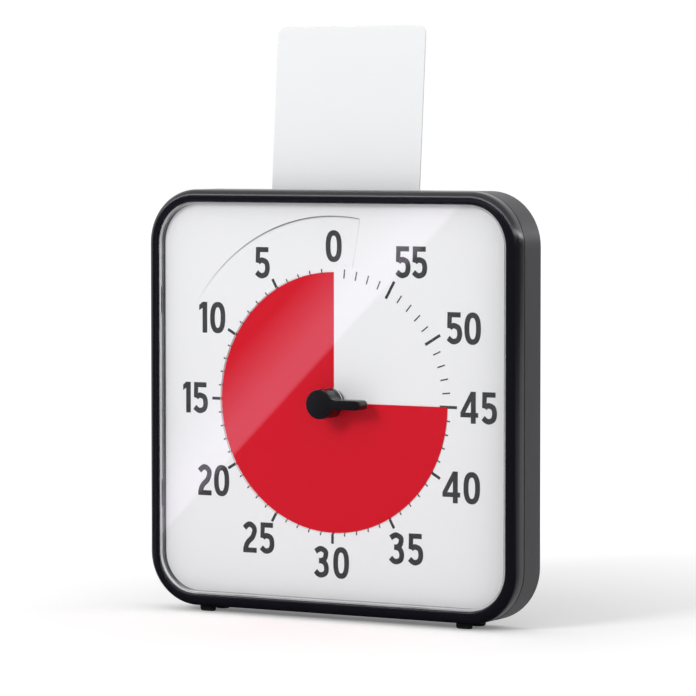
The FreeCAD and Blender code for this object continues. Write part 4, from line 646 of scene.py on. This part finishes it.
class Print:
    """Collects thin printed plates: a strip of width w along a line, or a filled outline."""
    THICK = 0.05

    def __init__(self):
        self.parts = []
        self.faces = []
        self.count = 0

    def all_points(self):
        return np.concatenate(self.parts)

    def add(self, flat, faces):
        """Two layers of flat points, faces between them given for both. Neighbouring plates differ a little in
        thickness, so that no two fronts lie in one plane."""
        depth = dial_depth(flat)
        thick = self.THICK + 0.004 * (len(self.parts) // 2 % 8)
        front = np.stack([flat[:, 0], depth - thick, flat[:, 1]], 1)
        rear = np.stack([flat[:, 0], depth + 0.005, flat[:, 1]], 1)
        self.parts += [front, rear]
        self.faces += [[corner + self.count for corner in face] for face in faces]
        self.count += 2 * len(flat)

    def strip(self, line, width, closed=False):
        """Ribbon of one width along a line: left edge = line + normal w / 2, right edge = line - normal w / 2."""
        line = np.asarray(line, float)
        if closed:
            along = np.roll(line, -1, 0) - np.roll(line, 1, 0)
        else:
            along = np.gradient(line, axis=0)
        along /= np.linalg.norm(along, axis=1, keepdims=True)
        normal = np.stack([-along[:, 1], along[:, 0]], 1)
        n = len(line)
        flat = np.concatenate([line + normal * width / 2, line - normal * width / 2])
        i = np.arange(n if closed else n - 1)
        j = (i + 1) % n
        total = 2 * n
        top = np.stack([i, j, j + n, i + n], 1)
        bottom = np.stack([i, i + n, j + n, j], 1) + total
        left = np.stack([i, i + total, j + total, j], 1)
        right = np.stack([i + n, j + n, j + n + total, i + n + total], 1)
        sides = [top, bottom, left, right]
        if not closed:
            first = np.array([[0, n, n + total, total]])
            last = np.array([[n - 1, n - 1 + total, 2 * n - 1 + total, 2 * n - 1]])
            sides += [first, last]
        self.add(flat, np.concatenate(sides).tolist())

    def plate(self, corners, steps=5):
        """Filled four-sided outline, clockwise seen from the front: point (u, v) is the bilinear blend of the
        corners."""
        a, b, c, e = (np.asarray(corner, float) for corner in corners)
        u, v = np.meshgrid(np.linspace(0, 1, steps + 1), np.linspace(0, 1, steps + 1), indexing="ij")
        u, v = u[..., None], v[..., None]
        flat = (a * (1 - u) * (1 - v) + b * u * (1 - v) + c * u * v + e * (1 - u) * v).reshape(-1, 2)
        top = grid_faces(steps + 1, steps + 1)
        number = np.arange((steps + 1) ** 2).reshape(steps + 1, steps + 1)
        rim = np.concatenate([number[:-1, 0], number[-1, :-1], number[:0:-1, -1], number[0, :0:-1]])
        after = np.roll(rim, -1)
        total = len(flat)
        walls = np.stack([rim, after, after + total, rim + total], 1)
        self.add(flat, np.concatenate([top, top[:, ::-1] + total, walls]).tolist())

    def figure(self, name, middle_x, middle_z, wide):
        """One figure from its strokes, centred on a point."""
        s = settings("timer_dial")
        high, stroke = s.figure_height / MM, s.stroke / MM
        here = np.array([middle_x, middle_z])
        a, b = (wide - stroke) / 2, (high - stroke) / 2 + 0.15
        half, top = wide / 2, high / 2
        thin = stroke * 0.93
        if name == "0":
            self.strip(here + oval(a, b, 2.45), stroke, closed=True)
        elif name == "1":
            self.plate(here + [(half, top), (half, -top), (half - stroke, -top), (half - stroke, top)])
            self.plate(here + [(half - stroke + 0.02, top), (half - stroke + 0.02, top - 4.4), (-half, top - 6.2),
                               (-half, top - 2.3)])
        elif name == "2":
            line = smooth_line([(-a - 0.7, 6.5), (-2.4, b - 0.8), (0.1, b), (a - 0.9, b - 1.9), (a - 0.1, 4.8),
                                (2.2, 0.2), (-1.3, -3.2), (-a + 0.7, -6.6), (-a + 0.1, -top + 0.4)])
            self.strip(here + line, stroke)
            self.strip(here + [(-half + 0.1, -top + thin / 2), (half - 0.2, -top + thin / 2)], thin)
        elif name == "3":
            upper = smooth_line([(-a - 0.2, 7.3), (-2.4, b - 0.7), (0.0, b), (a - 1.0, b - 1.6), (a - 0.5, 5.4),
                                 (a - 1.6, 2.3), (0.4, 0.9), (-1.8, 0.8)])
            lower = smooth_line([(-1.8, 0.8), (0.8, 0.6), (a - 1.0, -1.2), (a, -4.6), (a - 0.9, -8.0),
                                 (0.3, -b), (-2.3, -b + 0.5), (-a - 0.3, -b + 2.6)])
            self.strip(here + upper, stroke)
            self.strip(here + lower, stroke)
        elif name == "4":
            right = half - 1.9
            self.plate(here + [(right, top), (right, -top), (right - stroke, -top), (right - stroke, top)])
            bar_top, bar_low = -3.6, -7.0
            self.plate(here + [(half, bar_top), (half, bar_low), (-half, bar_low), (-half, bar_top)])
            self.plate(here + [(right - stroke + 0.02, top), (right - stroke + 0.02, top - 7.0),
                               (-half + 3.9, bar_top + 0.02), (-half, bar_top + 0.02)])
        elif name == "5":
            self.plate(here + [(half - 1.2, top), (half - 1.2, top - thin), (-half + 0.9, top - thin),
                               (-half + 0.9, top)])
            self.plate(here + [(-half + 0.9 + 3.6, top - thin + 0.02), (-half + 0.7 + 3.4, -0.6), (-half + 0.7, 0.2),
                               (-half + 0.9, top - thin + 0.02)])
            line = smooth_line([(-half + 2.9, 0.3), (-1.6, 1.5), (0.3, 1.7), (a - 1.0, 0.2), (a, -3.9),
                                (a - 1.1, -7.9), (0.0, -b), (-2.4, -b + 0.6), (-a - 0.5, -b + 2.5)])
            self.strip(here + line, stroke)

    def marks(self):
        """Minute marks, each split where the opening's edge steps down to the inner floor."""
        s = settings("timer_dial")
        opening = s.opening / MM
        for minute in range(1, 60):
            long = minute % 5 == 0
            start = (s.long_start if long else s.short_start) / MM
            end = (s.long_end if long else s.short_end) / MM
            width = (s.long_width if long else s.short_width) / MM
            turn = np.radians(minute * 6)
            way = np.array([-np.sin(turn), np.cos(turn)])
            inner = np.linspace(start, opening - 0.05, 4)[:, None] * way
            outer = np.linspace(opening + 0.05, end, 4)[:, None] * way
            self.strip(inner, width)
            self.strip(outer, width)


class KnobPiece(bpy.types.Operator):
    """Setting knob: an outline of arcs and lines, carried forward with a rounded edge"""
    bl_idname = "timer.knob"
    bl_label = "Setting knob"

    def execute(self, context):
        s = settings("timer_knob")
        hub, half, blend = s.hub_radius / MM, s.lever_width / MM / 2, s.blend / MM
        tip = s.tip / MM - half
        middle = np.array([np.sqrt((hub + blend) ** 2 - (half + blend) ** 2), half + blend])
        root = np.degrees(np.arctan2(middle[1], middle[0]))
        pieces = [
            (arc((tip, 0), half, -90, 90, 24), 1),
            (arc(middle, blend, 270, 180 + root, 12), -1),
            (arc((0, 0), hub, root, 360 - root, 72), 1),
            (arc((middle[0], -middle[1]), blend, 180 - root, 90, 12), -1),
        ]
        centres = [(tip, 0), tuple(middle), (0, 0), (middle[0], -middle[1])]
        outline, normals = [], []
        for (line, sign), centre in zip(pieces, centres):
            away = line - np.array(centre)
            outline.append(line)
            normals.append(sign * away / np.linalg.norm(away, axis=1, keepdims=True))
        outline, normals = np.concatenate(outline), np.concatenate(normals)
        edge, nick = s.edge / MM, 0.3
        face, back, hub_back = -s.face_reach / MM, -s.lever_back / MM, -s.hub_back / MM
        profile = np.concatenate([
            arc((-nick, back - nick), nick, 90, 0, 3),
            arc((-edge, face + edge), edge, 0, -90, 8),
        ])
        flat = outline[None] + profile[:, 0, None, None] * normals[None]
        depth = np.broadcast_to(profile[:, 1, None], flat.shape[:2])
        shell = np.stack([flat[..., 0], depth, flat[..., 1]], -1)
        rows, columns = shell.shape[:2]
        faces = grid_faces(rows, columns, close_columns=True).tolist()
        faces.append(list(range(columns))[::-1])
        faces.append(list(range((rows - 1) * columns, rows * columns)))
        turn = np.linspace(0, 2 * np.pi, 96, endpoint=False)
        reach = np.array([hub - 0.02, hub - 0.02, hub - 0.4])
        deep = np.array([back - 2.0, hub_back - 0.4, hub_back])
        drum = np.stack([reach[:, None] * np.cos(turn), np.broadcast_to(deep[:, None], (3, 96)),
                         reach[:, None] * np.sin(turn)], -1)
        drum_faces = grid_faces(3, 96, close_columns=True)[:, ::-1] + rows * columns
        ends = [list(range(rows * columns, rows * columns + 96)),
                list(range(rows * columns + 192, rows * columns + 288))[::-1]]
        points = np.concatenate([shell.reshape(-1, 3), drum.reshape(-1, 3)])
        piece = build("knob_shell", points, faces + drum_faces.tolist() + ends, "dial_drive", "knob_black")
        harden(piece, 40.0)
        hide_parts("setting_knob")
        return {"FINISHED"}


class CardPiece(bpy.types.Operator):
    """Dry-erase card: a plate with round corners and softly rounded edges, leaning back"""
    bl_idname = "timer.card"
    bl_label = "Dry-erase card"

    def execute(self, context):
        s = settings("timer_card")
        wide, thick, corner, edge = s.width / MM / 2, s.thickness / MM / 2, s.corner / MM, s.edge / MM
        high = (s.shown + s.hidden) / MM / 2
        turn = np.radians(np.concatenate([np.linspace(k * 90, k * 90 + 90, 13) for k in range(4)]))
        signs = np.repeat(np.array([[1, 1], [-1, 1], [-1, -1], [1, -1]]), 13, axis=0)
        middles = signs * np.array([wide - corner, high - corner])
        ways = np.stack([np.cos(turn), np.sin(turn)], 1)
        profile = np.concatenate([
            arc((-edge, thick - edge), edge, 90, 0, 4),
            arc((-edge, edge - thick), edge, 0, -90, 4),
        ])
        flat = middles[None] + (corner + profile[:, 0, None, None]) * ways[None]
        depth = np.broadcast_to(profile[:, 1, None], flat.shape[:2])
        rows, columns = flat.shape[:2]
        up = flat[..., 1] + (s.shown - s.hidden) / MM / 2
        lean = np.array([np.cos(s.lean), np.sin(s.lean)])
        case_top = (CARD_BOX[1] - CENTRE)[2] / MM - s.shown / MM * lean[0] - thick * lean[1]
        foot = (CARD_BOX[0] - CENTRE)[1] / MM + s.hidden / MM * lean[1] + thick * lean[0]
        y = foot + up * lean[1] + depth * lean[0]
        z = case_top + up * lean[0] - depth * lean[1]
        points = np.stack([flat[..., 0], y, z], -1).reshape(-1, 3)
        faces = grid_faces(rows, columns, close_columns=True).tolist()
        faces.append(list(range(columns))[::-1])
        faces.append(list(range((rows - 1) * columns, rows * columns)))
        piece = build("card_plate", points, faces, "card", "card_white")
        harden(piece, 40.0)
        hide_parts("dry_erase_card")
        return {"FINISHED"}


class CaseFinish(bpy.types.Operator):
    """Finishes of the pieces that keep their own shape"""
    bl_idname = "timer.finishes"
    bl_label = "Finishes"

    def execute(self, context):
        slots = {part["node"]: part["material_slot"] for part in frame["record"]["subparts"]}
        for name, piece in frame["nodes"].items():
            piece.data.materials.clear()
            piece.data.materials.append(material_for(slots[name]))
        return {"FINISHED"}


class StagePiece(bpy.types.Operator):
    """Pale floor, white surroundings, soft lamps, sheets that paint reflections, and the camera"""
    bl_idname = "timer.stage"
    bl_label = "Stage"

    def execute(self, context):
        s = settings("timer_stage")
        self.floor(s)
        self.world(s)
        for name, place, side, power in (("key_lamp", (-0.65, -2.3, 1.25), 0.8, s.key),
                                         ("fill_lamp", (2.2, -0.6, 1.4), 1.2, s.fill)):
            self.lamp(name, place, side, power)
        self.painted_reflections()
        self.camera(s)
        context.scene.view_settings.view_transform = "Standard"
        return {"FINISHED"}

    def floor(self, s):
        """Pale floor whose glow, seen by the camera alone, rises from near the part to far off."""
        mesh = bpy.data.meshes.new("floor")
        reach = 14.0
        mesh.from_pydata([(-reach, -reach, 0), (reach, -reach, 0), (reach, reach, 0), (-reach, reach, 0)], [],
                         [(0, 1, 2, 3)])
        floor = bpy.data.objects.new("floor", mesh)
        bpy.context.scene.collection.objects.link(floor)
        material, tree, shader = new_material("floor_pale")
        paths, shown = looked_at(tree)
        link(tree, mixed_colour(tree, shown, tuple(s.floor), (1.0, 1.0, 1.0)), shader.inputs["Base Color"])
        shader.inputs["Roughness"].default_value = 0.9
        shader.inputs["Specular IOR Level"].default_value = 0.0
        shader.inputs["Emission Strength"].default_value = s.floor_glow
        spot = tree.nodes.new("ShaderNodeVectorMath")
        spot.operation = "LENGTH"
        link(tree, tree.nodes.new("ShaderNodeTexCoord").outputs["Object"], spot.inputs[0])
        rising = ramped(tree, spot.outputs["Value"], 0.2, 0.75, 0.36, 1.0)
        glow = math_node(tree, "MULTIPLY", paths.outputs["Is Camera Ray"], rising)
        link(tree, mixed_colour(tree, glow, (0.0, 0.0, 0.0), (1.0, 1.0, 1.0)), shader.inputs["Emission Color"])
        mesh.materials.append(material)

    def world(self, s):
        world = bpy.data.worlds.new("surroundings")
        bpy.context.scene.world = world
        world.use_nodes = True
        tree = world.node_tree
        background = tree.nodes["Background"]
        background.inputs["Color"].default_value = (1.0, 1.0, 1.0, 1.0)
        shown = looked_at(tree)[1]
        mix = tree.nodes.new("ShaderNodeMix")
        mix.inputs["A"].default_value = s.sky
        mix.inputs["B"].default_value = 1.0
        link(tree, shown, mix.inputs["Factor"])
        link(tree, mix.outputs["Result"], background.inputs["Strength"])

    def lamp(self, name, place, side, power):
        """Square lamp that shines at the middle of the case and is left out of reflections."""
        lamp = bpy.data.lights.new(name, "AREA")
        lamp.shape = "SQUARE"
        lamp.size = side
        lamp.energy = power
        holder = bpy.data.objects.new(name, lamp)
        holder.visible_glossy = False
        bpy.context.scene.collection.objects.link(holder)
        way = np.array([0.0, 0.0, 0.16]) - np.array(place)
        self.aim(holder, place, way / np.linalg.norm(way))

    def aim(self, holder, place, way):
        """Turn an object so that its -Z axis points along a direction."""
        side = np.cross(way, (0.0, 0.0, 1.0))
        side /= np.linalg.norm(side)
        up = np.cross(side, way)
        turn = np.stack([side, up, -way], 1)
        matrix = np.eye(4)
        matrix[:3, :3] = turn
        matrix[:3, 3] = place
        holder.matrix_world = Matrix(matrix.tolist())

    def painted_reflections(self):
        """Glowing sheets that only reflections see, and that paint reflections: dark at the front, on the floor
        before the case and at the right, with a bright part whose edge paints the lens's slanting glare and fades
        away from it, and a bright strip above that paints the highlight along the bezel's crest."""
        near, far, left, right, high, gap = -0.30, 3.0, -1.3, 1.1, 0.8, 0.12
        # Strengths of the painted glare, of the painted crest highlight and of the dark rest of the sheets.
        glare_strength, crest_highlight_strength, dark_strength = 1.05, 9.0, 0.012
        mesh = bpy.data.meshes.new("painted_reflections")
        mesh.from_pydata([(left, near, 0.002), (right, near, 0.002), (right, near, high), (left, near, high),
                          (right, near, gap), (right, far, gap), (right, far, high),
                          (left, 0.0, 0.0015), (right, 0.0, 0.0015)], [],
                         [(0, 1, 4, 2, 3), (4, 5, 6, 2), (7, 8, 1, 0)])
        sheet = bpy.data.objects.new("painted_reflections", mesh)
        bpy.context.scene.collection.objects.link(sheet)
        material, tree, shader = new_material("painted_reflection_glow")
        tree.nodes.remove(shader)
        glow = tree.nodes.new("ShaderNodeEmission")
        link(tree, glow.outputs["Emission"], tree.nodes["Material Output"].inputs["Surface"])
        place = object_place(tree)
        upper = ramped(tree, place.outputs["Z"], 0.4, 0.5)
        # Colour of the painted reflections: a pink tint low down, near white higher up.
        link(tree, mixed_colour(tree, upper, (0.9, 0.76, 1.0), (0.97, 0.96, 1.0)), glow.inputs["Color"])
        # Edge of the painted glare on the lens, drawn as a slanting line across the sheet.
        first, last = np.array([-0.324, 0.0211]), np.array([-0.067, 0.2727])
        along = (last - first) / np.linalg.norm(last - first)
        out = np.array([-along[1], along[0]])
        across = math_node(tree, "ADD", math_node(tree, "MULTIPLY", place.outputs["X"], float(out[0])),
                           math_node(tree, "MULTIPLY", place.outputs["Z"], float(out[1])))
        distance = math_node(tree, "SUBTRACT", across, float(out @ first))
        edge = ramped(tree, distance, 0.0, 0.0035)
        fade = ramped(tree, distance, 0.0195, 0.059, 1.0, 0.0)
        glare = math_node(tree, "MULTIPLY", edge, math_node(tree, "MULTIPLY", fade, glare_strength))
        # Painted highlight along the bezel's crest: a bright strip across the sheet's upper part.
        above = ramped(tree, place.outputs["Z"], 0.61, 0.64)
        below = ramped(tree, place.outputs["Z"], 0.73, 0.76, 1.0, 0.2)
        strip = math_node(tree, "MULTIPLY", math_node(tree, "MULTIPLY", above, below), crest_highlight_strength)
        both = math_node(tree, "ADD", glare, strip)
        # The rest of the sheets glows faintly, which paints dark reflections.
        link(tree, math_node(tree, "ADD", both, dark_strength), glow.inputs["Strength"])
        mesh.materials.append(material)
        sheet.visible_camera = False
        sheet.visible_diffuse = False
        sheet.visible_shadow = False
        sheet.visible_volume_scatter = False

    def camera(self, s):
        """Camera that looks from the right and from a little above."""
        camera = bpy.data.cameras.new("camera")
        camera.lens = s.lens
        camera.sensor_width = 36.0
        camera.clip_start, camera.clip_end = 0.1, 100.0
        holder = bpy.data.objects.new("camera", camera)
        bpy.context.scene.collection.objects.link(holder)
        round_it, down = np.radians(29.94), np.radians(3.12)
        back = np.array([np.sin(round_it) * np.cos(down), -np.cos(round_it) * np.cos(down), np.sin(down)])
        self.aim(holder, (1.42340, -2.45484, 0.35052), -back)
        bpy.context.scene.camera = holder


class TimerPanel(bpy.types.Panel):
    """Lists the pieces and their settings"""
    bl_idname = "VIEW3D_PT_timer"
    bl_label = "Countdown timer"
    bl_space_type = "VIEW_3D"
    bl_region_type = "UI"
    bl_category = "Timer"

    def draw(self, context):
        for key, kind in SETTINGS.items():
            part = self.layout.box()
            part.label(text=key.split("_")[1].title())
            for name in kind.__annotations__:
                part.prop(settings(key), name)
        for operator in OPERATORS:
            self.layout.operator(operator.bl_idname)


OPERATORS = [CaseFinish, BezelPiece, DialPiece, KnobPiece, CardPiece, StagePiece]
CLASSES = [*SETTINGS.values(), *OPERATORS, TimerPanel]


def register():
    for kind in CLASSES:
        bpy.utils.register_class(kind)
    for key, kind in SETTINGS.items():
        setattr(bpy.types.Scene, key, PointerProperty(type=kind))


def unregister():
    for key in SETTINGS:
        delattr(bpy.types.Scene, key)
    for kind in reversed(CLASSES):
        bpy.utils.unregister_class(kind)


def main():
    register()
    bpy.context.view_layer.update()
    bpy.ops.timer.finishes()
    bpy.ops.timer.bezel()
    bpy.ops.timer.dial()
    bpy.ops.timer.knob()
    bpy.ops.timer.card()
    bpy.ops.timer.stage()


if __name__ == "__main__":
    main()
